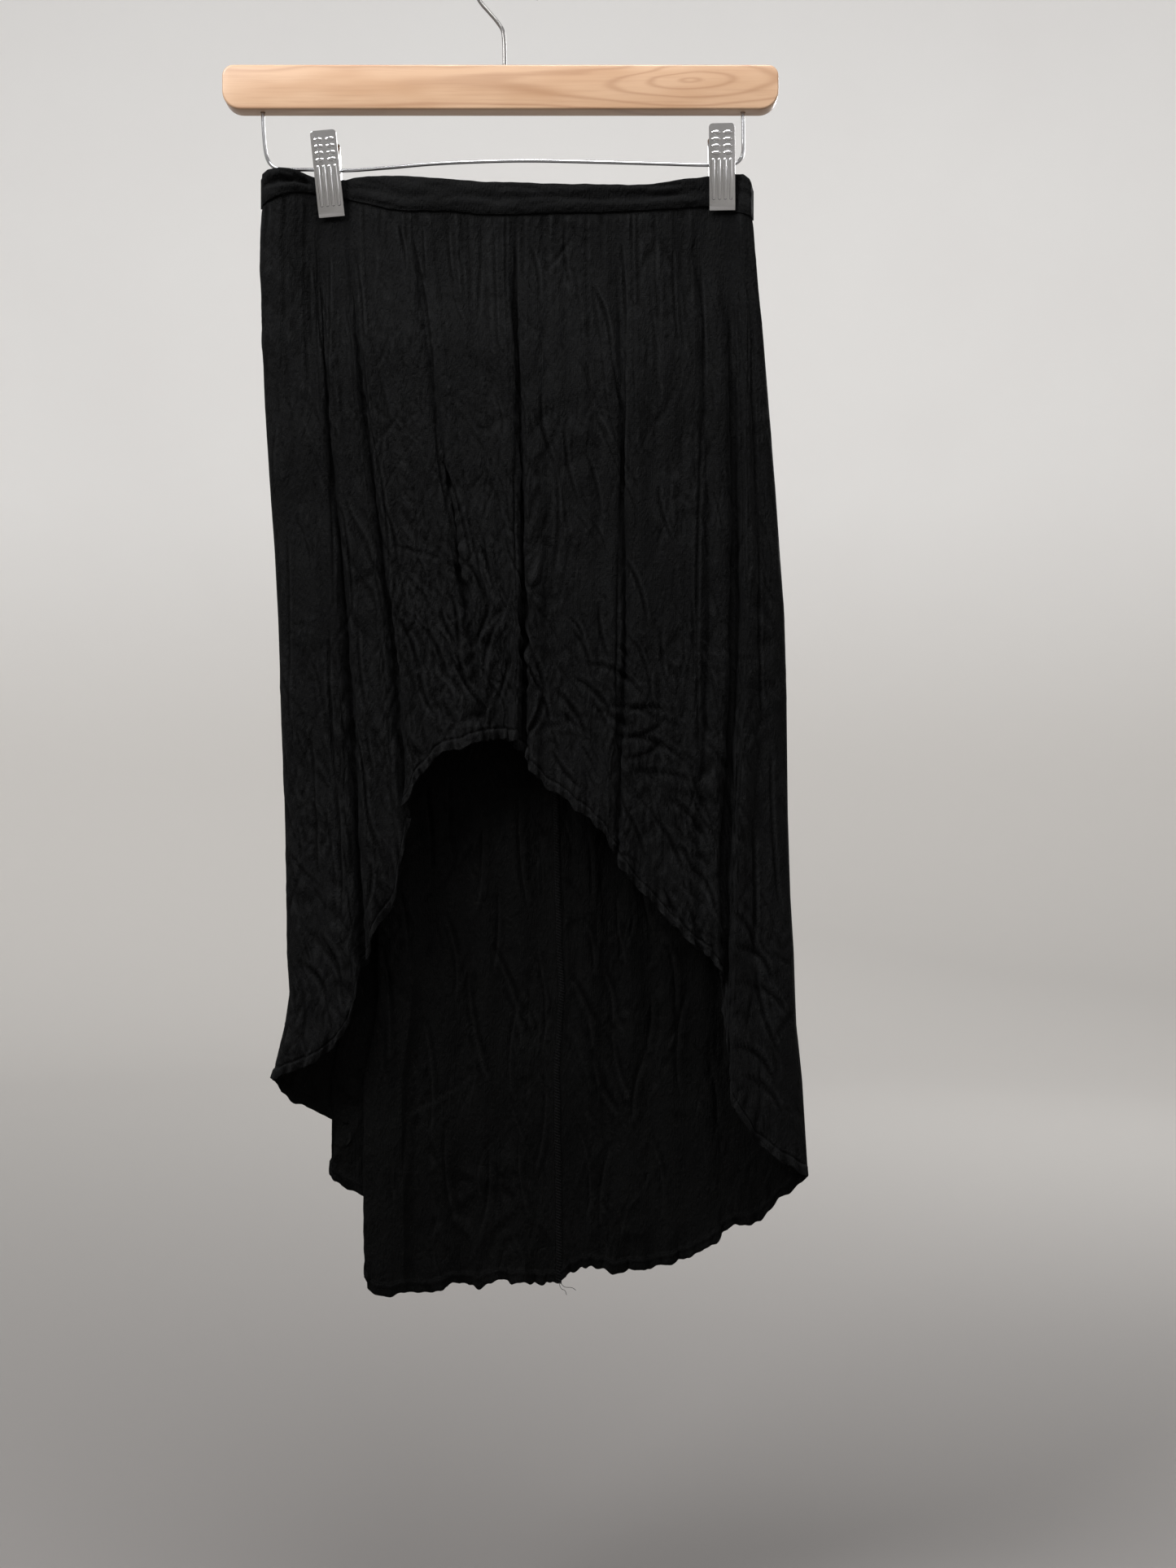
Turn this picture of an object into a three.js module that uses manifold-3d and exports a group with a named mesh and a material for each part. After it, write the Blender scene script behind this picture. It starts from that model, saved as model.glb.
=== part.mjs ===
// High-low gathered skirt that hangs from a wooden bar hanger by two metal clips.
// Millimetres. X runs to the right of the front, Y runs to the back, Z runs up.
// The origin is the seat of the hook, the inner top of its loop.

import * as THREE from "three";
import { mergeVertices } from "three/addons/utils/BufferGeometryUtils.js";
import Module from "manifold-3d";

const wasm = await Module();
wasm.setup();

// Driving sizes of the hanger.
const BAR = {
  left: -180.5,
  right: 172,
  top: -73.3,
  height: 28.4,
  depth: 13,
  topCorner: 7,
  lowCorner: 12,
  edge: 1,
};
const HOOK = { wire: 1.25, loop: 20.85, shank: -1.9, start: 220, end: -28, hole: 13 };
const WIRE = { radius: 1.15, hole: 11, clearance: 0.35, runStart: 7, runEnd: 20 };
const PLATE = { width: 16.4, length: 53, gauge: 0.9, corner: 1.6, slope: 9.6, jaw: 3.85, lip: 5.2 };
const OVAL = { long: 5.2, high: 2.1, raise: 0.5, rows: 4, pitch: 4.1, apart: 7.5, fromTop: 5.6 };
const RIB = { count: 4, pitch: 3.65, width: 1.3, raise: 0.45, low: 7, high: 32 };
const EAR = { half: 5.2, tip: 2.6, reach: 2.6, frontInset: 0, backInset: 1.3 };
const SPRING = { length: 9, inner: 1.6, outer: 2.9, arm: 0.6, armTop: 44 };

// Driving sizes of the cloth.
const CLOTH = {
  skirtWall: 1.1,
  bandWall: 1.8,
  hemWall: 1.5,
  hemWidth: 7,
  seamGap: 0.7,
  sideGap: 0.3,
  bandGap: 0.5,
  centreTrim: 0.03,
};
const BODY = { power: 2.6, front: 19, back: 16 };
const SEAM_STRIP = { width: 5, wall: 0.8, lift: 1.35 };

// Side view of each clip: where its mid-line starts and ends.
const CLIPS = [
  { name: "left", topX: -115.9, jawX: -111.2, jawZ: -169.4, tilt: 5, wireX: -113.9, wireZ: -138.33 },
  { name: "right", topX: 135.4, jawX: 136.4, jawZ: -165.2, tilt: 1.1, wireX: 135.9, wireZ: -134.9 },
];

// The wire that carries the clips, corner by corner.
const WIRE_PATH = [
  { x: -155.7, z: -91 },
  { x: -155.7, z: -102.3 },
  { x: -155, z: -116.8 },
  { x: -153.8, z: -127.4 },
  { x: -152.6, z: -131.6 },
  { x: -150.6, z: -134.8 },
  { x: -147.6, z: -136.9 },
  { x: -143.3, z: -137.6 },
  { x: -124.1, z: -138 },
  { x: -105.5, z: -138.6 },
  { x: -78, z: -136.9 },
  { x: -49, z: -134.4 },
  { x: -18, z: -132.9 },
  { x: 11.6, z: -132.3 },
  { x: 47.3, z: -132.9 },
  { x: 96, z: -134.2 },
  { x: 127.1, z: -135 },
  { x: 141.5, z: -134.8 },
  { x: 145.6, z: -133.6 },
  { x: 148.2, z: -131.3 },
  { x: 149.7, z: -127.7 },
  { x: 150, z: -121 },
  { x: 149.7, z: -102.3 },
  { x: 149.7, z: -91 },
];

// Outline of the hanging skirt: left and right edge at each height.
const EDGES = [
  { z: -140, left: -157, right: 156.4 },
  { z: -166, left: -155.4, right: 155 },
  { z: -185, left: -156.7, right: 156.8 },
  { z: -207, left: -156.7, right: 158.7 },
  { z: -237, left: -156.2, right: 162 },
  { z: -289, left: -154.2, right: 166.2 },
  { z: -340, left: -151, right: 170.3 },
  { z: -382, left: -148, right: 173.2 },
  { z: -423, left: -145.9, right: 176.2 },
  { z: -470, left: -144.3, right: 177.5 },
  { z: -548, left: -141.7, right: 178.4 },
  { z: -600, left: -140.7, right: 180 },
  { z: -636, left: -140.4, right: 182.2 },
  { z: -662, left: -138.8, right: 183 },
  { z: -682, left: -141.7, right: 183.8 },
  { z: -717, left: -150, right: 187.5 },
  { z: -755, left: -151, right: 189.8 },
  { z: -779, left: -151, right: 191.3 },
  { z: -860, left: -151, right: 193 },
];

// The band along the waist: upper and lower edge, how far the front and the back half
// stand off the middle plane, and how deep the crease along the band is.
const BAND = [
  { x: -157, top: -144.5, low: -163.5, front: 0, back: 0, crease: 0 },
  { x: -155.5, top: -142.6, low: -162.8, front: 4.2, back: 4, crease: 0.5 },
  { x: -151, top: -140.8, low: -160.4, front: 8, back: 7.6, crease: 2 },
  { x: -143.5, top: -139.9, low: -157.4, front: 9.6, back: 9, crease: 3 },
  { x: -134.5, top: -140.2, low: -154.6, front: 7, back: 6.6, crease: 2.4 },
  { x: -126.5, top: -142.4, low: -153.4, front: 2, back: 2, crease: 0.3 },
  { x: -121.3, top: -143.9, low: -153.7, front: 1.25, back: 1.25, crease: 0 },
  { x: -112, top: -145, low: -155.2, front: 1.25, back: 1.25, crease: 0 },
  { x: -102.6, top: -145.3, low: -157.3, front: 1.25, back: 1.25, crease: 0 },
  { x: -97.6, top: -144.4, low: -158.9, front: 2.6, back: 2.4, crease: 0.4 },
  { x: -87.8, top: -144, low: -161.7, front: 5, back: 4.6, crease: 1 },
  { x: -75, top: -144.1, low: -165.2, front: 6.2, back: 6, crease: 0.8 },
  { x: -62, top: -144.4, low: -166.5, front: 6.8, back: 6.8, crease: 0.9 },
  { x: -36, top: -146.5, low: -166.7, front: 7.4, back: 7.4, crease: 0.5 },
  { x: -17, top: -148, low: -168.9, front: 7, back: 7.6, crease: 1.1 },
  { x: 5, top: -148.8, low: -169.1, front: 7.8, back: 7.8, crease: 1.2 },
  { x: 32, top: -149.5, low: -167.8, front: 7.4, back: 7.6, crease: 0.8 },
  { x: 58, top: -149.8, low: -167.6, front: 7.2, back: 7.2, crease: 1.5 },
  { x: 81, top: -149.9, low: -166.5, front: 6.6, back: 6.6, crease: 1.8 },
  { x: 93, top: -149.3, low: -165.6, front: 6, back: 6.2, crease: 1.7 },
  { x: 105, top: -146.8, low: -164.6, front: 5.2, back: 5.2, crease: 1.4 },
  { x: 116, top: -144.9, low: -163.3, front: 3.6, back: 3.6, crease: 0.8 },
  { x: 127, top: -142.8, low: -162, front: 1.25, back: 1.25, crease: 0 },
  { x: 135, top: -141.9, low: -163.4, front: 1.25, back: 1.25, crease: 0 },
  { x: 145.2, top: -141.4, low: -165.6, front: 1.25, back: 1.25, crease: 0 },
  { x: 149.5, top: -142.3, low: -167.4, front: 4.6, back: 4.2, crease: 1 },
  { x: 153.3, top: -145.4, low: -169, front: 4.8, back: 4.4, crease: 1.4 },
  { x: 155.7, top: -149.5, low: -170, front: 3, back: 2.8, crease: 0.8 },
  { x: 156.6, top: -152, low: -170.4, front: 0, back: 0, crease: 0 },
];

// One row per fold line of a panel. `top` and `low` are its places across at the waist and
// at the hem, `hem` is the height of the hem there. `waist`, `hip`, `thigh` and `end` are how
// far it stands out of the panel (ridge) or lies in (valley, below zero).
const FRONT_FOLDS = [
  { top: -157, low: -150, hem: -716, waist: 0, hip: 0, thigh: 0, end: 0 },
  { top: -154.4, low: -147.4, hem: -714.6, waist: 0, hip: 0, thigh: 0, end: 0 },
  { top: -147, low: -138.5, hem: -711.4, waist: 0.4, hip: 1.2, thigh: 1.6, end: 1.4 },
  { top: -138.7, low: -128, hem: -707.6, waist: -0.8, hip: -2, thigh: -2, end: -1.8 },
  { top: -131.5, low: -117, hem: -701.6, waist: 0.6, hip: 2.4, thigh: 3, end: 2.4 },
  { top: -126, low: -108.5, hem: -693.6, waist: 0, hip: 0.6, thigh: 1.2, end: 1 },
  { top: -123, low: -99.5, hem: -680.5, waist: 0, hip: 2.8, thigh: 3.6, end: 3.4 },
  { top: -119.5, low: -90.2, hem: -644, waist: 0, hip: -6.5, thigh: -8.5, end: -9.5 },
  { top: -113, low: -83.5, hem: -622.6, waist: 0, hip: 3, thigh: 3.4, end: 3.6 },
  { top: -108, low: -76.5, hem: -611.5, waist: 0, hip: -1, thigh: 0.6, end: 0.4 },
  { top: -104.5, low: -69.6, hem: -602, waist: 0, hip: 2.4, thigh: 3.2, end: 3.8 },
  { top: -101, low: -62.5, hem: -549, waist: -0.3, hip: -6.4, thigh: -7.6, end: -8.4 },
  { top: -94.5, low: -57.8, hem: -527.5, waist: 0.8, hip: 3, thigh: 3.6, end: 3.4 },
  { top: -85, low: -51.5, hem: -521.6, waist: -1.2, hip: -2.6, thigh: -0.6, end: -0.6 },
  { top: -77, low: -45, hem: -512.6, waist: 0.8, hip: 2.4, thigh: 1.4, end: 1.6 },
  { top: -69.5, low: -37.5, hem: -509, waist: -1, hip: -1.4, thigh: -0.2, end: -0.6 },
  { top: -64.5, low: -28.5, hem: -506.4, waist: 0.8, hip: 2.4, thigh: 3, end: 2.6 },
  { top: -59.8, low: -13.8, hem: -501.8, waist: -1.2, hip: -5, thigh: -6.6, end: -4.6 },
  { top: -52, low: -9.8, hem: -501, waist: 0.8, hip: 2.4, thigh: 2.6, end: 2.2 },
  { top: -43, low: -5.6, hem: -500.6, waist: -1.2, hip: -2.6, thigh: -1.4, end: -1 },
  { top: -33, low: -1, hem: -500.6, waist: 0.8, hip: 2.2, thigh: 2.4, end: 2.4 },
  { top: -18, low: 3.2, hem: -500.9, waist: -1.8, hip: -2, thigh: 0.6, end: 0.6 },
  { top: -5, low: 7, hem: -501.6, waist: 0.8, hip: 3.6, thigh: 5, end: 5.6 },
  { top: 5.3, low: 10.8, hem: -509.5, waist: -2, hip: -9, thigh: -11.5, end: -11 },
  { top: 15, low: 14.4, hem: -519.8, waist: 0.8, hip: 3.6, thigh: 4.6, end: 5 },
  { top: 25, low: 23, hem: -529, waist: -1.8, hip: -2.8, thigh: -0.4, end: 0.2 },
  { top: 32.5, low: 33, hem: -537, waist: 0.8, hip: 2.2, thigh: 1.6, end: 1.8 },
  { top: 38.8, low: 42, hem: -543.2, waist: -1.6, hip: -2, thigh: -0.4, end: -0.8 },
  { top: 46, low: 50, hem: -549.4, waist: 0.8, hip: 2.4, thigh: 2, end: 2 },
  { top: 54.5, low: 56.6, hem: -555.3, waist: -1.3, hip: -2.8, thigh: -1.4, end: -1 },
  { top: 62.5, low: 62.6, hem: -562.4, waist: 0.8, hip: 2.6, thigh: 3.4, end: 3.6 },
  { top: 70.5, low: 69.2, hem: -574.5, waist: -1.8, hip: -5.8, thigh: -7.4, end: -7 },
  { top: 80, low: 77.6, hem: -588.6, waist: 0.8, hip: 3, thigh: 3.4, end: 3.4 },
  { top: 90, low: 87.4, hem: -599.6, waist: -1.3, hip: -2.6, thigh: -0.2, end: -0.4 },
  { top: 99, low: 98, hem: -611, waist: 0.8, hip: 2.2, thigh: 1.4, end: 1.6 },
  { top: 107, low: 107, hem: -620, waist: -0.8, hip: -1.6, thigh: 0, end: -0.4 },
  { top: 114.5, low: 114.6, hem: -627.4, waist: 0.6, hip: 2.4, thigh: 2.4, end: 2.4 },
  { top: 122, low: 121.6, hem: -633.6, waist: -0.3, hip: -4.2, thigh: -4.6, end: -3.4 },
  { top: 131, low: 128.6, hem: -638, waist: 0, hip: 2.8, thigh: 3.4, end: 3.6 },
  { top: 138.6, low: 135.4, hem: -651, waist: 0, hip: -6.4, thigh: -8, end: -7.8, steps: 1 },
  { top: 141, low: 138.4, hem: -672, waist: 0, hip: -6.6, thigh: -8.4, end: -8.2 },
  { top: 144.6, low: 139.8, hem: -702, waist: 0, hip: -0.6, thigh: -1, end: -1 },
  { top: 148, low: 141.6, hem: -730, waist: 0.3, hip: 4, thigh: 4.8, end: 4.6 },
  { top: 151.4, low: 157, hem: -754.4, waist: -0.3, hip: -2, thigh: -2.8, end: -2.4 },
  { top: 154, low: 174, hem: -767.4, waist: 0, hip: 1, thigh: 1.6, end: 1.4 },
  { top: 155.8, low: 185.6, hem: -774, waist: 0, hip: 0, thigh: 0, end: 0 },
  { top: 156.4, low: 191, hem: -777, waist: 0, hip: 0, thigh: 0, end: 0 },
];

// The left half of the back is lapped twice low down: each lap turns under, runs back behind
// itself and turns out again. Rows with `steps: 1` are the tight turns.
const BACK_LEFT_FOLDS = [
  { top: -157, low: -150.4, hem: -716, waist: 0, hip: 0, thigh: 0, end: 0 },
  { top: -154.4, low: -147, hem: -722, waist: 0, hip: 0, thigh: 0, end: 0 },
  { top: -148, low: -139.4, hem: -731.6, waist: 0.3, hip: 0.6, thigh: 1, end: 1 },
  { top: -141, low: -124, hem: -739, waist: 0.3, hip: 1.6, thigh: 2.2, end: 2.8 },
  { top: -135, low: -102, hem: -749, waist: 0, hip: 2, thigh: 2.9, end: 3.6, steps: 1 },
  { top: -132.5, low: -100, hem: -754, waist: 0, hip: 1.2, thigh: 1.7, end: 2.2, steps: 1 },
  { top: -130, low: -102, hem: -760, waist: 0, hip: 0.3, thigh: 0.5, end: 0.8 },
  { top: -126.5, low: -111.8, hem: -772, waist: 0, hip: -1.3, thigh: 0, end: 0.4, steps: 1 },
  { top: -124, low: -113.8, hem: -778, waist: 0, hip: -2.2, thigh: -1.2, end: -1, steps: 1 },
  { top: -121.5, low: -112, hem: -785, waist: 0, hip: -3, thigh: -2.4, end: -2.4 },
  { top: -116, low: -99, hem: -790.4, waist: 0, hip: -3.1, thigh: -2.7, end: -2.8 },
  { top: -110, low: -76, hem: -800, waist: 0, hip: -2.9, thigh: -2.4, end: -2.4, steps: 1 },
  { top: -107.5, low: -74, hem: -804, waist: 0, hip: -3.7, thigh: -3.6, end: -3.8, steps: 1 },
  { top: -105, low: -76, hem: -810, waist: 0, hip: -4.5, thigh: -4.8, end: -5.2 },
  { top: -101.5, low: -90.4, hem: -838, waist: 0, hip: -6.2, thigh: -5.2, end: -5.6, steps: 1 },
  { top: -99, low: -92.6, hem: -848, waist: 0, hip: -7, thigh: -6.4, end: -7, steps: 1 },
  { top: -96.5, low: -90.8, hem: -853, waist: 0, hip: -7.8, thigh: -7.6, end: -8.4 },
  { top: -91.5, low: -81, hem: -856, waist: 0, hip: -7, thigh: -7.8, end: -8.6 },
  { top: -85, low: -66, hem: -855, waist: -0.4, hip: -4.2, thigh: -6, end: -7.2 },
  { top: -77, low: -51, hem: -857, waist: 0.4, hip: 0.6, thigh: -1.6, end: -3 },
  { top: -67, low: -41, hem: -852.6, waist: -0.8, hip: -2.8, thigh: -2.4, end: -4.4 },
  { top: -57, low: -27, hem: -852, waist: 0.6, hip: 3.6, thigh: 2.8, end: 1 },
  { top: -45, low: -13, hem: -850.4, waist: -0.8, hip: -3.2, thigh: -1.8, end: -2.2 },
  { top: -32, low: -1, hem: -850, waist: 0.6, hip: 4, thigh: 3.2, end: 2.4 },
  { top: -18, low: 10, hem: -850, waist: -0.8, hip: -3.6, thigh: -2.4, end: -1 },
  { top: -3, low: 22, hem: -851.6, waist: 0.6, hip: 3.2, thigh: 2.4, end: 1.6 },
  { top: 14, low: 32.4, hem: -851, waist: 0, hip: 0, thigh: 0, end: 0 },
];

const BACK_RIGHT_FOLDS = [
  { top: 14, low: 32.4, hem: -851, waist: 0, hip: 0, thigh: 0, end: 0 },
  { top: 27, low: 40, hem: -843.6, waist: 0.6, hip: 3.2, thigh: 3.1, end: 2.1 },
  { top: 40, low: 51, hem: -840.8, waist: -0.8, hip: -3.6, thigh: -2.7, end: -2.4 },
  { top: 52, low: 64, hem: -843, waist: 0.6, hip: 3.2, thigh: 3.4, end: 2.7 },
  { top: 64, low: 78, hem: -842.6, waist: -0.8, hip: -3.2, thigh: -3.4, end: -3 },
  { top: 76, low: 92, hem: -842, waist: 0.6, hip: 3.6, thigh: 3.4, end: 2.1 },
  { top: 88, low: 105, hem: -838, waist: -0.8, hip: -2.8, thigh: -2.4, end: -2.4 },
  { top: 99, low: 117, hem: -833.4, waist: 0.6, hip: 3.2, thigh: 2.7, end: 2.4 },
  { top: 110, low: 129, hem: -826.6, waist: -0.6, hip: -2.8, thigh: -3.1, end: -2.7 },
  { top: 120, low: 139, hem: -816.4, waist: 0.3, hip: 2.4, thigh: 2.4, end: 2.1 },
  { top: 130, low: 150, hem: -814, waist: 0, hip: -2, thigh: -2, end: -1.8 },
  { top: 139, low: 163, hem: -807.4, waist: 0, hip: 2, thigh: 2, end: 1.5 },
  { top: 147, low: 175, hem: -795.4, waist: 0.2, hip: 0.8, thigh: 1, end: 0.6 },
  { top: 154, low: 187, hem: -784, waist: 0, hip: 0, thigh: 0, end: 0 },
  { top: 156.4, low: 191.6, hem: -777, waist: 0, hip: 0, thigh: 0, end: 0 },
];

const FOLD_LEVELS = [0, 0.28, 0.65, 1];

function material(colour, roughness, metalness) {
  return new THREE.MeshStandardMaterial({ color: colour, roughness, metalness });
}

const WOOD = () => material(0xe2c6a6, 0.5, 0);
const DARK_STEEL = () => material(0x8a8c90, 0.35, 1);
const CHROME = () => material(0xc9ccd0, 0.18, 1);
const BLACK_CLOTH = () => material(0x1d1d20, 0.92, 0);

const part = new THREE.Group();
part.name = "skirt_on_clip_hanger";

function addPiece(name, geometry, finish) {
  const mesh = new THREE.Mesh(geometry, finish);
  mesh.name = name;
  part.add(mesh);
}

function mix(a, b, t) {
  return a + (b - a) * t;
}

function ease(a, b, x) {
  const t = THREE.MathUtils.clamp((x - a) / (b - a), 0, 1);
  return t * t * (3 - 2 * t);
}

// Reads a table that is sorted by one column, in a straight line between its rows.
function lookUp(table, key, value, column) {
  const rising = table[table.length - 1][key] > table[0][key];
  let i = 0;
  while (i < table.length - 2 && (rising ? value > table[i + 1][key] : value < table[i + 1][key])) {
    i += 1;
  }
  const t = THREE.MathUtils.clamp((value - table[i][key]) / (table[i + 1][key] - table[i][key]), 0, 1);
  return mix(table[i][column], table[i + 1][column], t);
}

// Closed body of a sheet of cloth: `grid[i][j]` are points of its middle surface.
function clothWall(grid, wallAt) {
  const columns = grid.length;
  const rows = grid[0].length;
  const count = columns * rows;
  const positions = new Float32Array(count * 6);
  for (let i = 0; i < columns; i += 1) {
    for (let j = 0; j < rows; j += 1) {
      const across = new THREE.Vector3().subVectors(
        grid[Math.min(i + 1, columns - 1)][j],
        grid[Math.max(i - 1, 0)][j],
      );
      const down = new THREE.Vector3().subVectors(
        grid[i][Math.min(j + 1, rows - 1)],
        grid[i][Math.max(j - 1, 0)],
      );
      const normal = new THREE.Vector3().crossVectors(down, across).normalize();
      const half = wallAt(j) / 2;
      const outer = grid[i][j].clone().addScaledVector(normal, half);
      const inner = grid[i][j].clone().addScaledVector(normal, -half);
      outer.toArray(positions, (i * rows + j) * 3);
      inner.toArray(positions, (count + i * rows + j) * 3);
    }
  }
  const index = [];
  const quad = (a, b, c, d) => index.push(a, b, c, a, c, d);
  const outerAt = (i, j) => i * rows + j;
  const innerAt = (i, j) => count + i * rows + j;
  for (let i = 0; i < columns - 1; i += 1) {
    for (let j = 0; j < rows - 1; j += 1) {
      quad(outerAt(i, j), outerAt(i, j + 1), outerAt(i + 1, j + 1), outerAt(i + 1, j));
      quad(innerAt(i, j), innerAt(i + 1, j), innerAt(i + 1, j + 1), innerAt(i, j + 1));
    }
    quad(outerAt(i, 0), outerAt(i + 1, 0), innerAt(i + 1, 0), innerAt(i, 0));
    const last = rows - 1;
    quad(outerAt(i, last), innerAt(i, last), innerAt(i + 1, last), outerAt(i + 1, last));
  }
  for (let j = 0; j < rows - 1; j += 1) {
    quad(outerAt(0, j), innerAt(0, j), innerAt(0, j + 1), outerAt(0, j + 1));
    const last = columns - 1;
    quad(outerAt(last, j), outerAt(last, j + 1), innerAt(last, j + 1), innerAt(last, j));
  }
  const geometry = new THREE.BufferGeometry();
  geometry.setAttribute("position", new THREE.BufferAttribute(positions, 3));
  geometry.setIndex(index);
  geometry.computeVertexNormals();
  return geometry;
}

// Closed body of a round wire along a bent line.
function wireBody(line, radius, sides) {
  const rings = line.map((point, k) => {
    const ahead = line[Math.min(k + 1, line.length - 1)];
    const behind = line[Math.max(k - 1, 0)];
    const along = new THREE.Vector3().subVectors(ahead, behind).normalize();
    const depth = new THREE.Vector3(0, 1, 0);
    const side = new THREE.Vector3().crossVectors(depth, along).normalize();
    return Array.from({ length: sides }, (_, s) => {
      const turn = (s / sides) * 2 * Math.PI;
      return point
        .clone()
        .addScaledVector(side, radius * Math.cos(turn))
        .addScaledVector(depth, radius * Math.sin(turn));
    });
  });
  const positions = rings.flat().concat([line[0], line[line.length - 1]]);
  const index = [];
  for (let k = 0; k < rings.length - 1; k += 1) {
    for (let s = 0; s < sides; s += 1) {
      const next = (s + 1) % sides;
      const a = k * sides + s;
      const b = k * sides + next;
      index.push(a, b, b + sides, a, b + sides, a + sides);
    }
  }
  const first = rings.length * sides;
  const lastRing = (rings.length - 1) * sides;
  for (let s = 0; s < sides; s += 1) {
    const next = (s + 1) % sides;
    index.push(first, next, s);
    index.push(first + 1, lastRing + s, lastRing + next);
  }
  const geometry = new THREE.BufferGeometry().setFromPoints(positions);
  geometry.setIndex(index);
  geometry.computeVertexNormals();
  return geometry;
}

function toSolid(geometry) {
  const bare = geometry.clone();
  bare.deleteAttribute("normal");
  bare.deleteAttribute("uv");
  const merged = mergeVertices(bare, 1e-4);
  return new wasm.Manifold(
    new wasm.Mesh({
      numProp: 3,
      vertProperties: new Float32Array(merged.attributes.position.array),
      triVerts: new Uint32Array(merged.index.array),
    }),
  );
}

function fromSolid(solid) {
  const mesh = solid.getMesh();
  const geometry = new THREE.BufferGeometry();
  geometry.setAttribute("position", new THREE.BufferAttribute(new Float32Array(mesh.vertProperties), 3));
  geometry.setIndex(new THREE.BufferAttribute(new Uint32Array(mesh.triVerts), 1));
  geometry.computeVertexNormals();
  return geometry;
}

function inPlane(x, z) {
  return new THREE.Vector3(x, 0, z);
}

// The wooden bar: its outline pushed through its depth, small rounding on the edges,
// three blind holes for the hook and the two ends of the wire.
function barBody() {
  const edge = BAR.edge;
  const left = BAR.left + edge;
  const right = BAR.right - edge;
  const top = BAR.top - edge;
  const low = BAR.top - BAR.height + edge;
  const upper = BAR.topCorner - edge;
  const lower = BAR.lowCorner - edge;
  const outline = new THREE.Shape();
  outline.moveTo(left + lower, low);
  outline.lineTo(right - lower, low);
  outline.absarc(right - lower, low + lower, lower, -Math.PI / 2, 0, false);
  outline.lineTo(right, top - upper);
  outline.absarc(right - upper, top - upper, upper, 0, Math.PI / 2, false);
  outline.lineTo(left + upper, top);
  outline.absarc(left + upper, top - upper, upper, Math.PI / 2, Math.PI, false);
  outline.lineTo(left, low + lower);
  outline.absarc(left + lower, low + lower, lower, Math.PI, 1.5 * Math.PI, false);
  const slab = new THREE.ExtrudeGeometry(outline, {
    depth: BAR.depth - 2 * edge,
    bevelEnabled: true,
    bevelThickness: edge,
    bevelSize: edge,
    bevelSegments: 2,
    curveSegments: 5,
  });
  slab.translate(0, 0, -(BAR.depth / 2 - edge));
  slab.rotateX(Math.PI / 2);
  let solid = toSolid(slab);
  const bottom = BAR.top - BAR.height;
  const holes = [
    { x: HOOK.shank, from: BAR.top + 1, deep: HOOK.hole + 1, radius: HOOK.wire + WIRE.clearance },
    { x: WIRE_PATH[0].x, from: bottom + WIRE.hole, deep: WIRE.hole + 1, radius: WIRE.radius + WIRE.clearance },
    {
      x: WIRE_PATH[WIRE_PATH.length - 1].x,
      from: bottom + WIRE.hole,
      deep: WIRE.hole + 1,
      radius: WIRE.radius + WIRE.clearance,
    },
  ];
  for (const hole of holes) {
    const drill = new THREE.CylinderGeometry(hole.radius, hole.radius, hole.deep, 8);
    drill.rotateX(Math.PI / 2);
    drill.translate(hole.x, 0, hole.from - hole.deep / 2);
    solid = solid.subtract(toSolid(drill));
  }
  return fromSolid(solid);
}

// The hook: straight shank out of the bar, a kink to the left, then a round loop over the top.
function hookLine() {
  const centre = HOOK.wire - HOOK.loop;
  const line = [
    inPlane(HOOK.shank, BAR.top - HOOK.hole + 1),
    inPlane(HOOK.shank, BAR.top),
    inPlane(-2.4, -53.6),
    inPlane(-3.2, -49.2),
    inPlane(-5.6, -45.2),
    inPlane(-12.6, -36.8),
  ];
  for (let degrees = HOOK.start; degrees >= HOOK.end; degrees -= 15.5) {
    const turn = THREE.MathUtils.degToRad(degrees);
    line.push(inPlane(HOOK.loop * Math.cos(turn), centre + HOOK.loop * Math.sin(turn)));
  }
  return line;
}

// Height of the level run of the wire, which carries the clips.
function wireHeight(x) {
  return lookUp(WIRE_PATH.slice(WIRE.runStart, WIRE.runEnd), "x", x, "z");
}

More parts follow.
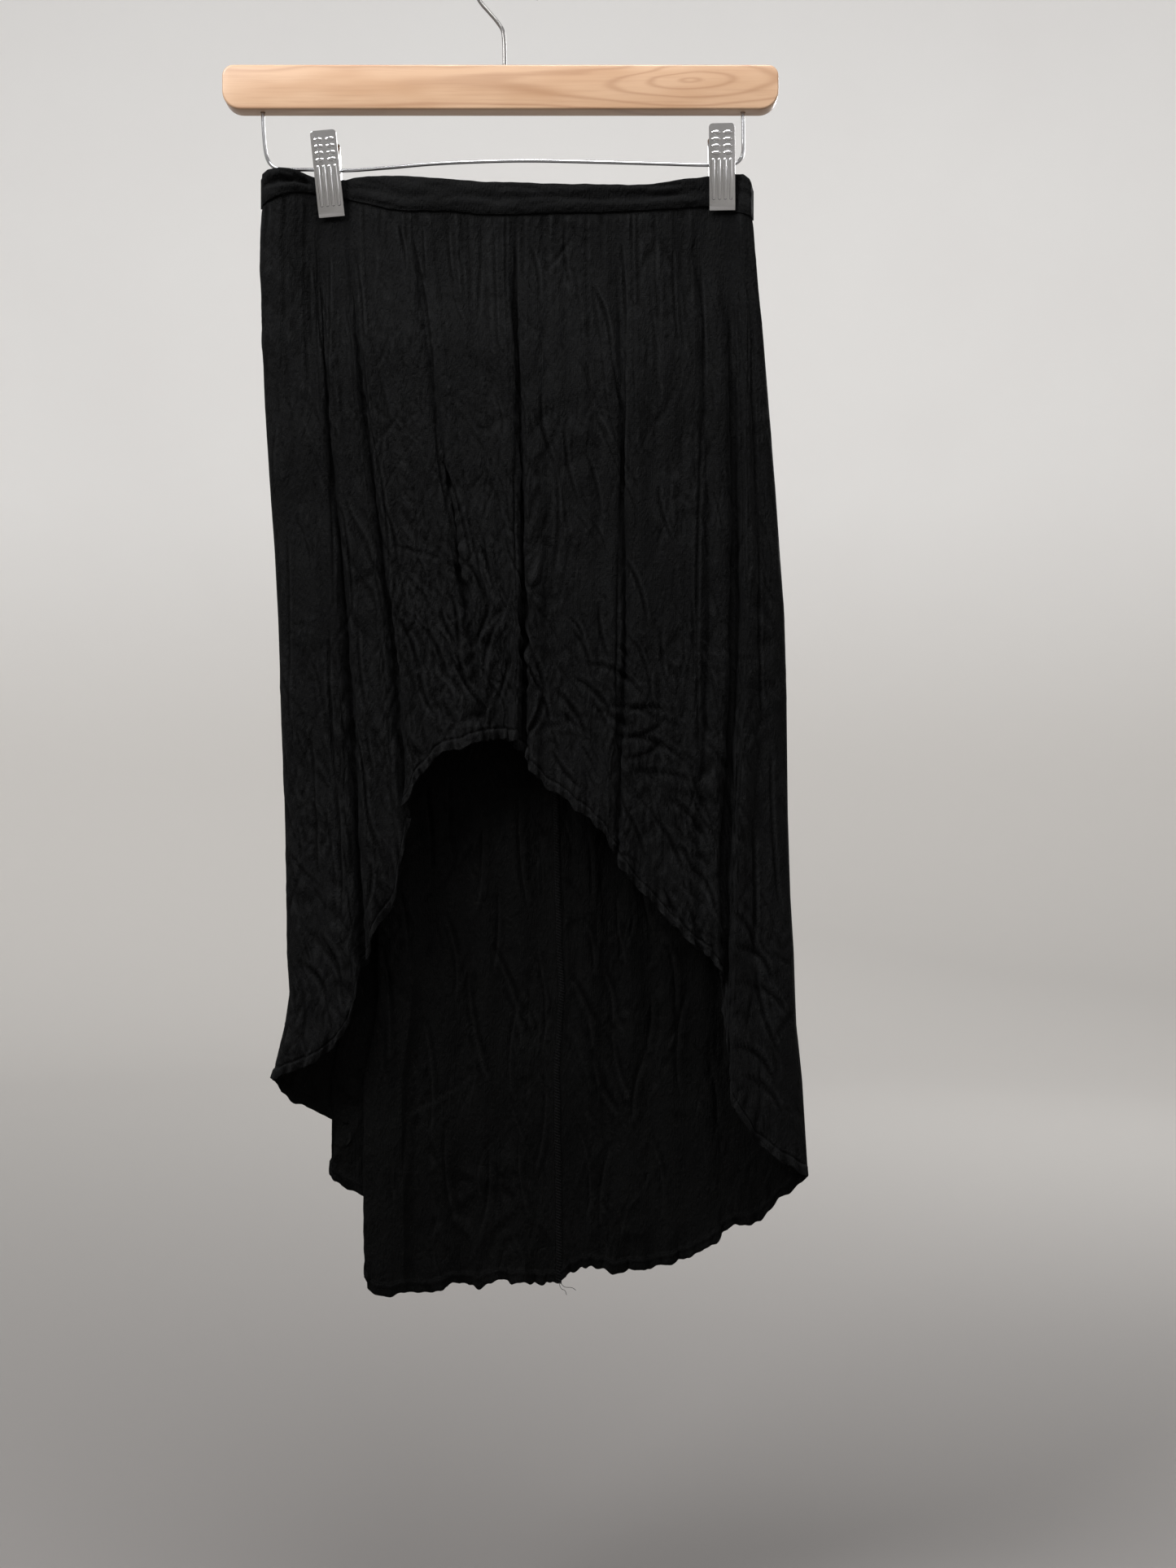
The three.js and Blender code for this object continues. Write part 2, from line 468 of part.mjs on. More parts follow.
// One pressed clip plate: flat body, bent lip at the jaw, two ears that ride on the wire,
// raised ovals near the top and ribs lower down. Built flat, then stood against the cloth.
function plateBody(clip, side) {
  const half = PLATE.width / 2;
  const slope = THREE.MathUtils.degToRad(PLATE.slope);
  const tilt = THREE.MathUtils.degToRad(clip.tilt);
  const up = new THREE.Vector3(-Math.sin(tilt), 0, Math.cos(tilt));
  const across = new THREE.Vector3(-side * Math.cos(tilt), 0, -side * Math.sin(tilt));
  const out = new THREE.Vector3(0, side, 0);
  const rise = (clip.wireX - clip.jawX) * up.x + (clip.wireZ - clip.jawZ) * up.z;
  const wireUp = rise * Math.cos(slope) - PLATE.jaw * Math.sin(slope);
  const wireOut = -PLATE.jaw * Math.cos(slope) - rise * Math.sin(slope);

  const face = new THREE.Shape();
  face.moveTo(-half, PLATE.lip - 1);
  face.lineTo(half, PLATE.lip - 1);
  face.lineTo(half, PLATE.length - PLATE.corner);
  face.absarc(half - PLATE.corner, PLATE.length - PLATE.corner, PLATE.corner, 0, Math.PI / 2, false);
  face.lineTo(-half + PLATE.corner, PLATE.length);
  face.absarc(-half + PLATE.corner, PLATE.length - PLATE.corner, PLATE.corner, Math.PI / 2, Math.PI, false);
  let solid = toSolid(
    new THREE.ExtrudeGeometry(face, { depth: PLATE.gauge, bevelEnabled: false, curveSegments: 3 }),
  );

  const acrossPlate = (shape, from, to) => {
    const geometry = new THREE.ExtrudeGeometry(shape, {
      depth: to - from,
      bevelEnabled: false,
      curveSegments: 4,
    });
    geometry.rotateY(-Math.PI / 2);
    geometry.translate(to, 0, 0);
    return toSolid(geometry);
  };
  const outline = (pairs) => new THREE.Shape(pairs.map(([up, out]) => new THREE.Vector2(out, up)));
  const lip = outline([
    [PLATE.lip, 0],
    [PLATE.lip, PLATE.gauge],
    [PLATE.lip - 1.2, PLATE.gauge],
    [0.2, -0.05],
    [0, -0.95],
    [PLATE.lip - 1, 0],
  ]);
  solid = solid.add(acrossPlate(lip, -half, half));

  const inset = side < 0 ? EAR.frontInset : EAR.backInset;
  for (const from of [half - inset - PLATE.gauge, -half + inset]) {
    const ear = outline([
      [wireUp - EAR.half, PLATE.gauge / 2],
      [wireUp + EAR.half, PLATE.gauge / 2],
      [wireUp + EAR.tip, wireOut - EAR.reach + 0.6],
      [wireUp + EAR.tip / 2, wireOut - EAR.reach],
      [wireUp - EAR.tip / 2, wireOut - EAR.reach],
      [wireUp - EAR.tip, wireOut - EAR.reach + 0.6],
    ]);
    const middle = from + PLATE.gauge / 2;
    const drop = wireHeight(clip.wireX + middle * across.x) - clip.wireZ - middle * across.z;
    const eye = new THREE.Path();
    eye.absarc(
      wireOut - drop * Math.sin(slope),
      wireUp + drop * Math.cos(slope),
      WIRE.radius + WIRE.clearance,
      0,
      2 * Math.PI,
      true,
    );
    ear.holes.push(eye);
    solid = solid.add(acrossPlate(ear, from, from + PLATE.gauge));
  }

  const sunk = PLATE.gauge / 2;
  const raised = (shape, height, segments) =>
    toSolid(
      new THREE.ExtrudeGeometry(shape, { depth: height, bevelEnabled: false, curveSegments: segments }).translate(
        0,
        0,
        PLATE.gauge - sunk,
      ),
    );
  for (let row = 0; row < OVAL.rows; row += 1) {
    for (const x of [-OVAL.apart / 2, OVAL.apart / 2]) {
      const up = PLATE.length - OVAL.fromTop - row * OVAL.pitch;
      const oval = new THREE.Shape();
      oval.absellipse(x, up, OVAL.long / 2, OVAL.high / 2, 0, 2 * Math.PI, false);
      solid = solid.add(raised(oval, OVAL.raise + sunk, 4));
    }
  }
  for (let k = 0; k < RIB.count; k += 1) {
    const x = (k - (RIB.count - 1) / 2) * RIB.pitch;
    const rib = new THREE.Shape();
    rib.moveTo(x, RIB.low);
    rib.lineTo(x + RIB.width / 2, RIB.low + RIB.width);
    rib.lineTo(x + RIB.width / 2, RIB.high - RIB.width);
    rib.lineTo(x, RIB.high);
    rib.lineTo(x - RIB.width / 2, RIB.high - RIB.width);
    rib.lineTo(x - RIB.width / 2, RIB.low + RIB.width);
    solid = solid.add(raised(rib, RIB.raise + sunk, 1));
  }

  const along = up.clone().multiplyScalar(Math.cos(slope)).addScaledVector(out, Math.sin(slope));
  const away = out.clone().multiplyScalar(Math.cos(slope)).addScaledVector(up, -Math.sin(slope));
  const stand = new THREE.Matrix4().makeBasis(across, along, away);
  stand.setPosition(clip.jawX, side * PLATE.jaw, clip.jawZ);
  return fromSolid(solid).applyMatrix4(stand);
}

// The spring of a clip: a coil round the wire with one arm against each plate.
function springBody(clip) {
  const ring = new THREE.Shape();
  ring.absarc(0, 0, SPRING.outer, 0, 2 * Math.PI, false);
  const bore = new THREE.Path();
  bore.absarc(0, 0, SPRING.inner, 0, 2 * Math.PI, true);
  ring.holes.push(bore);
  const coil = new THREE.ExtrudeGeometry(ring, {
    depth: SPRING.length,
    bevelEnabled: false,
    curveSegments: 6,
  });
  const reach = SPRING.length / 2;
  const slopeOfWire = (wireHeight(clip.wireX + reach) - wireHeight(clip.wireX - reach)) / SPRING.length;
  coil.translate(0, 0, -SPRING.length / 2);
  coil.rotateY(Math.PI / 2);
  coil.rotateY(-Math.atan(slopeOfWire));
  coil.translate(clip.wireX, 0, clip.wireZ);
  let solid = toSolid(coil);
  const slope = Math.tan(THREE.MathUtils.degToRad(PLATE.slope));
  for (const side of [-1, 1]) {
    const far = PLATE.jaw + SPRING.armTop * slope - SPRING.arm - 0.5;
    const x = clip.wireX + side * 2.5;
    const arm = wireBody(
      [
        new THREE.Vector3(x, side * (SPRING.outer - SPRING.arm), clip.wireZ),
        new THREE.Vector3(x - 0.6, side * far, clip.jawZ + SPRING.armTop),
      ],
      SPRING.arm,
      6,
    );
    solid = solid.add(toSolid(arm));
  }
  return fromSolid(solid);
}

function bandAt(x, column) {
  return lookUp(BAND, "x", x, column);
}

// Half of the band. The lower edge is joined to the skirt; along the band runs a soft crease.
function bandBody(side) {
  const levels = [0, 0.26, 0.5, 0.74, 1];
  const column = side < 0 ? "front" : "back";
  const grid = BAND.map((row) =>
    levels.map((level) => {
      const puff = Math.min(1.6, row[column] * 0.25) * Math.sin(Math.PI * level);
      const dent = row.crease * Math.exp(-(((level - 0.5) / 0.16) ** 2));
      const far = Math.max(row[column] + puff - dent, 0) + CLOTH.bandGap;
      return new THREE.Vector3(row.x, side * far, mix(row.top, row.low, level));
    }),
  );
  return clothWall(grid, () => CLOTH.bandWall);
}

// Place of a point of a skirt panel. `k` counts fold lines from the left, `v` runs from the
// waist (0) to the hem (1), `side` is -1 for the front and +1 for the back.
function panelPoint(folds, k, v, side) {
  const i = Math.min(Math.floor(k), folds.length - 2);
  const t = k - i;
  const here = folds[i];
  const next = folds[i + 1];
  const topX = mix(here.top, next.top, t);
  const lowX = mix(here.low, next.low, t);
  const hem = mix(here.hem, next.hem, t);
  const seam = bandAt(topX, "low") - CLOTH.seamGap;
  const share = (x, z) => {
    const left = lookUp(EDGES, "z", z, "left");
    const right = lookUp(EDGES, "z", z, "right");
    return (x - left) / (right - left);
  };
  const z = mix(seam, hem, v);
  const s = THREE.MathUtils.clamp(mix(share(topX, seam), share(lowX, hem), v), 0, 1);
  const left = lookUp(EDGES, "z", z, "left");
  const right = lookUp(EDGES, "z", z, "right");
  const relief = (row) => {
    const heights = [row.waist, row.hip, row.thigh, row.end];
    let level = 0;
    while (level < 2 && v > FOLD_LEVELS[level + 1]) {
      level += 1;
    }
    const part = (v - FOLD_LEVELS[level]) / (FOLD_LEVELS[level + 1] - FOLD_LEVELS[level]);
    return mix(heights[level], heights[level + 1], part * part * (3 - 2 * part));
  };
  const from = relief(here);
  const to = relief(next);
  const wave = from < to ? Math.sin((Math.PI / 2) * t) : 1 - Math.cos((Math.PI / 2) * t);
  const fold = mix(from, to, wave);
  const deep = side < 0 ? BODY.front : BODY.back;
  const round = (1 - Math.abs(2 * s - 1) ** BODY.power) ** (1 / BODY.power);
  const atSeam = bandAt(topX, side < 0 ? "front" : "back");
  const body = mix(atSeam, deep * round, ease(0.02, 0.3, v));
  return new THREE.Vector3(mix(left, right, s), side * (Math.max(body + fold, 0) + CLOTH.sideGap), z);
}

// Levels of a panel from waist to hem; the last stretch is the turned hem.
function panelLevels(folds, rows) {
  const lengths = folds.map((row) => bandAt(row.top, "low") - row.hem);
  const mean = lengths.reduce((sum, length) => sum + length, 0) / lengths.length;
  const turn = 1 - CLOTH.hemWidth / mean;
  const levels = [];
  for (let j = 0; j <= rows; j += 1) {
    levels.push(turn * (j / rows) ** 1.15);
  }
  levels.push(1 - (CLOTH.hemWidth * 0.82) / mean, 1);
  return levels;
}

// `first` and `last` trim the panel, in fold lines, where it meets its neighbour.
function panelBody(folds, side, rows, first = 0, last = folds.length - 1) {
  const levels = panelLevels(folds, rows);
  const grid = [];
  for (let i = 0; i < folds.length - 1; i += 1) {
    const steps = folds[i].steps ?? 2;
    for (let step = 0; step < steps; step += 1) {
      const k = Math.max(i + step / steps, first);
      grid.push(levels.map((v) => panelPoint(folds, k, v, side)));
    }
  }
  grid.push(levels.map((v) => panelPoint(folds, last, v, side)));
  const wallAt = (j) => (j > rows ? CLOTH.hemWall : CLOTH.skirtWall);
  return clothWall(grid, wallAt);
}

// The seam allowance of the centre back lies on the inside of the back panels.
function seamStripBody() {
  const last = BACK_LEFT_FOLDS.length - 1;
  const grid = [-1, 0, 1].map((edge) =>
    Array.from({ length: 25 }, (_, j) => {
      const v = mix(0.004, 0.985, j / 24);
      const middle = panelPoint(BACK_LEFT_FOLDS, last, v, 1);
      const leftOf = panelPoint(BACK_LEFT_FOLDS, last - 0.3, v, 1);
      const rightOf = panelPoint(BACK_RIGHT_FOLDS, 0.3, v, 1);
      const across = rightOf.sub(leftOf).normalize();
      const inward = new THREE.Vector3(0, -1, 0);
      return middle
        .addScaledVector(across, (edge * SEAM_STRIP.width) / 2)
        .addScaledVector(inward, SEAM_STRIP.lift);
    }),
  );
  return clothWall(grid, () => SEAM_STRIP.wall);
}

addPiece("hanger_bar", barBody(), WOOD());
addPiece("hanger_hook", wireBody(hookLine(), HOOK.wire, 8), DARK_STEEL());
addPiece("hanger_wire", wireBody(WIRE_PATH.map(({ x, z }) => inPlane(x, z)), WIRE.radius, 8), CHROME());
for (const clip of CLIPS) {
  addPiece(`clip_${clip.name}_front`, plateBody(clip, -1), CHROME());
  addPiece(`clip_${clip.name}_back`, plateBody(clip, 1), CHROME());
  addPiece(`clip_${clip.name}_spring`, springBody(clip), DARK_STEEL());
}
addPiece("waistband_front", bandBody(-1), BLACK_CLOTH());
addPiece("waistband_back", bandBody(1), BLACK_CLOTH());
addPiece("skirt_front", panelBody(FRONT_FOLDS, -1, 12), BLACK_CLOTH());
const centreBack = BACK_LEFT_FOLDS.length - 1;
addPiece(
  "skirt_back_left",
  panelBody(BACK_LEFT_FOLDS, 1, 13, 0, centreBack - CLOTH.centreTrim),
  BLACK_CLOTH(),
);
addPiece(
  "skirt_back_right",
  panelBody(BACK_RIGHT_FOLDS, 1, 13, CLOTH.centreTrim),
  BLACK_CLOTH(),
);
addPiece("centre_back_seam", seamStripBody(), BLACK_CLOTH());

export default part;
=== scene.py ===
# High-low gathered skirt on a wooden bar hanger with a wire and two metal clips.
# Metres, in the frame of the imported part: X to the right of the front, Y to the back, Z up,
# with the origin at the seat of the hook. Sizes in the tables are in millimetres.

import math

import bmesh
import bpy
import numpy as np
from mathutils import Matrix, Vector


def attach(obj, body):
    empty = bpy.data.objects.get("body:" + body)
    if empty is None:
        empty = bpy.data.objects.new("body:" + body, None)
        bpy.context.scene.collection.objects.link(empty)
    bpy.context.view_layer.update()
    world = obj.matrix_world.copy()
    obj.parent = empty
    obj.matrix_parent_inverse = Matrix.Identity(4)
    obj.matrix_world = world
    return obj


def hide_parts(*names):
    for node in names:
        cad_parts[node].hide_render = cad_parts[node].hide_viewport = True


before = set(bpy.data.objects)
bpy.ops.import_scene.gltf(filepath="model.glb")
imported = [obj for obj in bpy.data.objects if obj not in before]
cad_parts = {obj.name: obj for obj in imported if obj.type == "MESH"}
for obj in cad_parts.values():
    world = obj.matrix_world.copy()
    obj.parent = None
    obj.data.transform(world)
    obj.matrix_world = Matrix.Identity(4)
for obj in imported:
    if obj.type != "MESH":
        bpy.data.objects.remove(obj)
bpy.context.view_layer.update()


# Wooden bar. A planed strip of maple with rounded ends and eased edges under a clear satin
# lacquer, drilled from above for the hook and from below for the two ends of the wire.

MM = 0.001
BAR_LEFT, BAR_RIGHT, BAR_TOP = -180.5, 172, -73.3
BAR_HEIGHT, BAR_DEPTH = 28.4, 13
BAR_UPPER_CORNER, BAR_LOWER_CORNER, BAR_EDGE = 7, 12, 1.3
HOOK_HOLE = (-1.9, 12)
WIRE_HOLES = (-155.7, 149.7)
HOLE_RADIUS, HOLE_PAST_FACE, WIRE_HOLE_DEPTH = 1.6, 0.5, 10.5
# Where the rings of the tree lie, in metres: they show as ovals round OVAL_AT, their heart is
# HEART_BELOW the origin and HEART_BACK behind the bar's middle, and they slope by RING_SLOPE.
OVAL_AT, HEART_BELOW, HEART_BACK, RING_SLOPE = 0.116, 0.0862, 0.0045, 0.018
RINGS_IN_METRE, RING_WANDER = 1350, 0.012


class Shade:
    """A value in a material's nodes. Sums and products of it add their own Math nodes."""

    def __init__(self, socket):
        self.socket = socket
        self.tree = socket.id_data

    def node(self, kind, settings, inputs, output=0):
        made = self.tree.nodes.new(kind)
        for name, value in settings.items():
            if name == "stops":
                ramp = made.color_ramp
                while len(ramp.elements) < len(value):
                    ramp.elements.new(1)
                for element, (place, colour) in zip(ramp.elements, value):
                    element.position = place
                    element.color = colour
            else:
                setattr(made, name, value)
        for name, value in inputs.items():
            if isinstance(value, Shade):
                self.tree.links.new(value.socket, made.inputs[name])
            else:
                made.inputs[name].default_value = value
        return Shade(made.outputs[output])

    def math(self, operation, *values):
        return self.node("ShaderNodeMath", {"operation": operation}, dict(enumerate(values)))

    def through(self, function):
        """This value through a function of one value, such as SINE."""
        return self.math(function, self)

    def __add__(self, other):
        return self.math("ADD", self, other)

    __radd__ = __add__

    def __sub__(self, other):
        return self.math("SUBTRACT", self, other)

    def __mul__(self, other):
        return self.math("MULTIPLY", self, other)

    def __pow__(self, other):
        return self.math("POWER", self, other)

    def parts(self):
        """The X, Y and Z of these coordinates."""
        return [self.node("ShaderNodeSeparateXYZ", {}, {0: self}, axis) for axis in range(3)]

    def between(self, low, high):
        """0 below low, 1 above high, smooth in between."""
        return self.node(
            "ShaderNodeMapRange",
            {"interpolation_type": "SMOOTHSTEP"},
            {"Value": self, "From Min": low, "From Max": high},
        )

    def blend(self, start, end):
        """The colour start where self is 0 and end where it is 1."""
        return self.node("ShaderNodeMix", {"data_type": "RGBA"}, {0: self, 6: start, 7: end}, 2)

    def stretched(self, x, y, z):
        """These coordinates times x, y and z."""
        return self.node("ShaderNodeVectorMath", {"operation": "MULTIPLY"}, {0: self, 1: (x, y, z)})

    def noise(self, scale, detail=2.0, rough=0.5):
        return self.node(
            "ShaderNodeTexNoise", {}, {"Vector": self, "Scale": scale, "Detail": detail, "Roughness": rough}
        )

    def bump(self, strength, distance):
        return self.node("ShaderNodeBump", {}, {"Height": self, "Strength": strength, "Distance": distance})

    def surface(self, **inputs):
        """Makes the material's surface; a capital starts each word, as on the shader's sockets."""
        named = {name.replace("_", " "): value for name, value in inputs.items()}
        shader = self.node("ShaderNodeBsdfPrincipled", {}, named)
        out = self.tree.nodes.new("ShaderNodeOutputMaterial")
        self.tree.links.new(shader.socket, out.inputs["Surface"])


def colour(red, green, blue):
    """A colour as the eye sees it, 0 to 255, for a shader."""
    seen = (red / 255, green / 255, blue / 255)
    return tuple(((c + 0.055) / 1.055) ** 2.4 if c > 0.04 else c / 12.92 for c in seen) + (1,)


def new_material(name, coordinates="Object"):
    """An empty material, and the coordinates that its pattern is drawn on."""
    material = bpy.data.materials.new(name)
    material.use_nodes = True
    material.node_tree.nodes.clear()
    place = material.node_tree.nodes.new("ShaderNodeTexCoord")
    return material, Shade(place.outputs[coordinates])


def maple():
    material, place = new_material("maple_lacquered")
    along, deep, up = place.parts()
    wander = place.stretched(9, 40, 60).noise(1.0, 2.0) - 0.5
    # The rings lie close under the face at the right, so they show as ovals there.
    under = ((along - OVAL_AT) * 15).through("TANH") * 0.016
    across = up + HEART_BELOW - along * RING_SLOPE + wander * RING_WANDER
    back = deep * 0.6 + HEART_BACK
    radius = (across * across + under * under + back * back) ** 0.5
    rings = (radius * RINGS_IN_METRE + wander * 5).through("SINE") * 0.5 + 0.5
    line = rings ** 5
    fibre = place.stretched(22, 700, 700).noise(1.0, 3.0, 0.6)
    patch = place.stretched(14, 60, 60).noise(1.0, 2.0)
    pale, warm, dark = colour(186, 152, 122), colour(174, 137, 105), colour(142, 101, 70)
    ground = patch.between(0.35, 0.7).blend(pale, warm)
    grain = (line * 0.42).blend(ground, dark)
    fleck = (fibre.between(0.45, 0.75) * 0.22).blend(grain, dark)
    place.surface(
        Base_Color=fleck,
        Roughness=0.36 + fibre * 0.16,
        Coat_Weight=0.35,
        Coat_Roughness=0.22,
        Normal=(fibre * 0.5 + line * 0.5).bump(0.12, 0.0004),
    )
    return material


def take(*pieces):
    """Selects these pieces and no others; the first one is the piece in hand."""
    bpy.ops.object.select_all(action="DESELECT")
    for piece in pieces:
        piece.select_set(True)
    bpy.context.view_layer.objects.active = pieces[0]


def smooth(piece, degrees):
    """Shades a piece round, but for edges sharper than degrees."""
    take(piece)
    bpy.ops.object.shade_smooth_by_angle(angle=math.radians(degrees))


def start_box(centre, size):
    """A box in millimetres, in hand and ready to be shaped."""
    bpy.ops.mesh.primitive_cube_add(
        size=1, location=[part * MM for part in centre], scale=[part * MM for part in size]
    )
    bpy.ops.object.transform_apply()
    return bpy.context.object


def pick_edges(test):
    """Selects the edges of the piece in hand for which test(middle, direction) holds."""
    bpy.ops.mesh.select_mode(type="EDGE")
    bpy.ops.mesh.select_all(action="DESELECT")
    mesh = bmesh.from_edit_mesh(bpy.context.object.data)
    for edge in mesh.edges:
        a, b = (vert.co for vert in edge.verts)
        edge.select_set(test((a + b) / 2, (b - a).normalized()))
    bmesh.update_edit_mesh(bpy.context.object.data)


def round_edges(width, segments, test):
    """Rounds the edges that pick_edges takes."""
    pick_edges(test)
    bpy.ops.mesh.bevel(offset=width * MM, segments=segments, profile=0.5, affect="EDGES")


def drill(piece, place, length, radius, across=False):
    """A round hole with its middle at place, drilled along Z or, where across is set, along X."""
    bpy.ops.mesh.primitive_cylinder_add(
        vertices=24,
        radius=radius * MM,
        depth=length * MM,
        location=[part * MM for part in place],
        rotation=(0, math.pi / 2 if across else 0, 0),
    )
    core = bpy.context.object
    bpy.context.view_layer.objects.active = piece
    cut = piece.modifiers.new("hole", "BOOLEAN")
    cut.object = core
    cut.solver = "EXACT"
    bpy.ops.object.modifier_apply(modifier=cut.name)
    bpy.data.objects.remove(core)


def finish_piece(piece, name, material, slot, *nodes):
    """Names a finished piece, gives it its material and puts it in the place of its CAD nodes."""
    piece.name = name
    piece.data.name = name
    piece.data.materials.clear()
    piece.data.materials.append(material)
    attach(piece, "root")
    if nodes:
        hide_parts(*nodes)


bar_middle = ((BAR_LEFT + BAR_RIGHT) / 2, 0, BAR_TOP - BAR_HEIGHT / 2)
bar = start_box(bar_middle, (BAR_RIGHT - BAR_LEFT, BAR_DEPTH, BAR_HEIGHT))
bpy.ops.object.mode_set(mode="EDIT")
for upper, corner in ((True, BAR_UPPER_CORNER), (False, BAR_LOWER_CORNER)):
    round_edges(
        corner, 10, lambda middle, way: abs(way.y) > 0.9 and (middle.z > bar_middle[2] * MM) == upper
    )
round_edges(BAR_EDGE, 4, lambda middle, way: abs(way.y) < 0.1)
bpy.ops.object.mode_set(mode="OBJECT")
hook_x, hook_depth = HOOK_HOLE
drill(bar, (hook_x, 0, BAR_TOP - hook_depth / 2 + HOLE_PAST_FACE), hook_depth + 1, HOLE_RADIUS)
wire_hole = WIRE_HOLE_DEPTH + HOLE_PAST_FACE
for x in WIRE_HOLES:
    drill(bar, (x, 0, BAR_TOP - BAR_HEIGHT + wire_hole / 2 - HOLE_PAST_FACE), wire_hole, HOLE_RADIUS)
smooth(bar, 32)
finish_piece(bar, "bar", maple(), "maple_wood", "hanger_bar")


# Hook. A drawn steel wire, bent at the shank and turned into a round loop; its lower end is
# driven into the top of the bar and its free end is rounded off.

HOOK_WIRE, HOOK_LOOP, HOOK_SHANK = 1.25, 20.85, -1.9
HOOK_FROM, HOOK_TO = 220, -28
HOOK_NECK = ((-2.4, -53.6), (-3.2, -49.2), (-5.6, -45.2), (-12.6, -36.8))


def steel(name, tint, rough, marks):
    """Metal of colour tint; rough is how matt it is, marks how strong its fine scratches are."""
    material, place = new_material(name)
    streaks = place.stretched(900, 900, 90).noise(1.0, 3.0, 0.6)
    cloudy = place.noise(160, 2.0)
    place.surface(
        Base_Color=(cloudy * 0.5).blend(tint, tuple(0.82 * c for c in tint[:3]) + (1,)),
        Metallic=1.0,
        Roughness=rough + streaks * marks + cloudy * 0.06,
        Normal=streaks.bump(0.05, 0.0002),
    )
    return material


def bent_wire(name, line, radius, turns=6, roundness=5):
    """A round wire bent through the points of line, in millimetres, its ends closed."""
    curve = bpy.data.curves.new(name, "CURVE")
    curve.dimensions = "3D"
    curve.bevel_depth = radius * MM
    curve.bevel_resolution = roundness
    curve.resolution_u = turns
    curve.use_fill_caps = True
    spline = curve.splines.new("BEZIER")
    spline.bezier_points.add(len(line) - 1)
    for point, place in zip(spline.bezier_points, line):
        point.co = Vector(place) * MM
        point.handle_left_type = point.handle_right_type = "AUTO"
    wire = bpy.data.objects.new(name, curve)
    bpy.context.collection.objects.link(wire)
    take(wire)
    bpy.ops.object.convert(target="MESH")
    bpy.ops.object.mode_set(mode="EDIT")
    bpy.ops.mesh.select_all(action="SELECT")
    bpy.ops.mesh.remove_doubles(threshold=0.00002)
    bpy.ops.mesh.normals_make_consistent(inside=False)
    bpy.ops.object.mode_set(mode="OBJECT")
    smooth(wire, 50)
    return wire


hook_line = [(HOOK_SHANK, 0, BAR_TOP + rise) for rise in (-12, -4, 6)]
hook_line += [(x, 0, z) for x, z in HOOK_NECK]
for degrees in np.linspace(HOOK_FROM, HOOK_TO, 17):
    turn = math.radians(degrees)
    hook_line.append((HOOK_LOOP * math.cos(turn), 0, HOOK_WIRE - HOOK_LOOP + HOOK_LOOP * math.sin(turn)))
hook = bent_wire("hook", hook_line, HOOK_WIRE)
dark_wire = steel("dark_drawn_steel", colour(150, 148, 146), 0.2, 0.12)
finish_piece(hook, "hook", dark_wire, "dark_steel", "hanger_hook")


# Wire. One length of bright plated wire hangs from the two holes under the bar; the clips
# ride on its long, slightly bowed run.

WIRE_RADIUS = 1.15
LEVEL_RUN = slice(7, 20)
WIRE_PATH = (
    (-155.7, -91),
    (-155.7, -102.3),
    (-155, -116.8),
    (-153.8, -127.4),
    (-152.6, -131.6),
    (-150.6, -134.8),
    (-147.6, -136.9),
    (-143.3, -137.6),
    (-124.1, -138),
    (-105.5, -138.6),
    (-78, -136.9),
    (-49, -134.4),
    (-18, -132.9),
    (11.6, -132.3),
    (47.3, -132.9),
    (96, -134.2),
    (127.1, -135),
    (141.5, -134.8),
    (145.6, -133.6),
    (148.2, -131.3),
    (149.7, -127.7),
    (150, -121),
    (149.7, -102.3),
    (149.7, -91),
)

wire = bent_wire("clip_wire", [(x, 0, z) for x, z in WIRE_PATH], WIRE_RADIUS, 5)
bright_wire = steel("bright_plated_wire", colour(196, 197, 200), 0.1, 0.08)
finish_piece(wire, "clip_wire", bright_wire, "chrome_wire", "hanger_wire")


# Clips. Two pressed and plated steel plates each, with eight raised ovals above and four ribs
# below, hinged on the wire and pushed shut at the lip by a small coil spring.

PLATE_WIDTH, PLATE_LENGTH, PLATE_GAUGE, PLATE_CORNER = 16.4, 53, 0.9, 2.4
PLATE_SLOPE, PLATE_JAW, PLATE_LIP, PLATE_EASED = 9.6, 3.85, 5.2, 0.22
LIP_BENDS = ((2.6, 0.35), (1.5, 0.6))
OVAL_LONG, OVAL_HIGH, OVAL_RAISE, OVAL_PITCH, OVAL_APART, OVAL_FROM_TOP = 6.0, 2.7, 0.8, 4.1, 7.5, 5.6
RIB_PITCH, RIB_WIDTH, RIB_RAISE, RIB_LOW, RIB_HIGH = 3.65, 2.3, 0.85, 6.4, 32
EAR_GAUGE, EAR_HALF, EAR_PAST_WIRE, EAR_INSET, EAR_ROOT, EYE_PLAY = 0.9, 4.2, 2.6, 0.65, 0.3, 0.3
BACK_EARS_IN = 0.9
SPRING_LENGTH, SPRING_RADIUS, SPRING_WIRE, SPRING_TURNS, TURN_STEPS = 8.6, 2.3, 0.55, 6, 10
SPRING_FOOT, SPRING_LEAN, SPRING_INSIDE = 43, 10, 1.6
CLIPS = (
    {"name": "left", "jaw": (-111.2, -169.4), "tilt": 5, "wire": (-113.9, -138.33)},
    {"name": "right", "jaw": (136.4, -165.2), "tilt": 1.1, "wire": (135.9, -134.9)},
)


def soften(piece, width, segments=2):
    """Eases the sharp edges of a piece by width, in millimetres."""
    bpy.context.view_layer.objects.active = piece
    edges = piece.modifiers.new("eased", "BEVEL")
    edges.width = width * MM
    edges.segments = segments
    edges.limit_method = "ANGLE"
    edges.angle_limit = math.radians(35)
    bpy.ops.object.modifier_apply(modifier=edges.name)


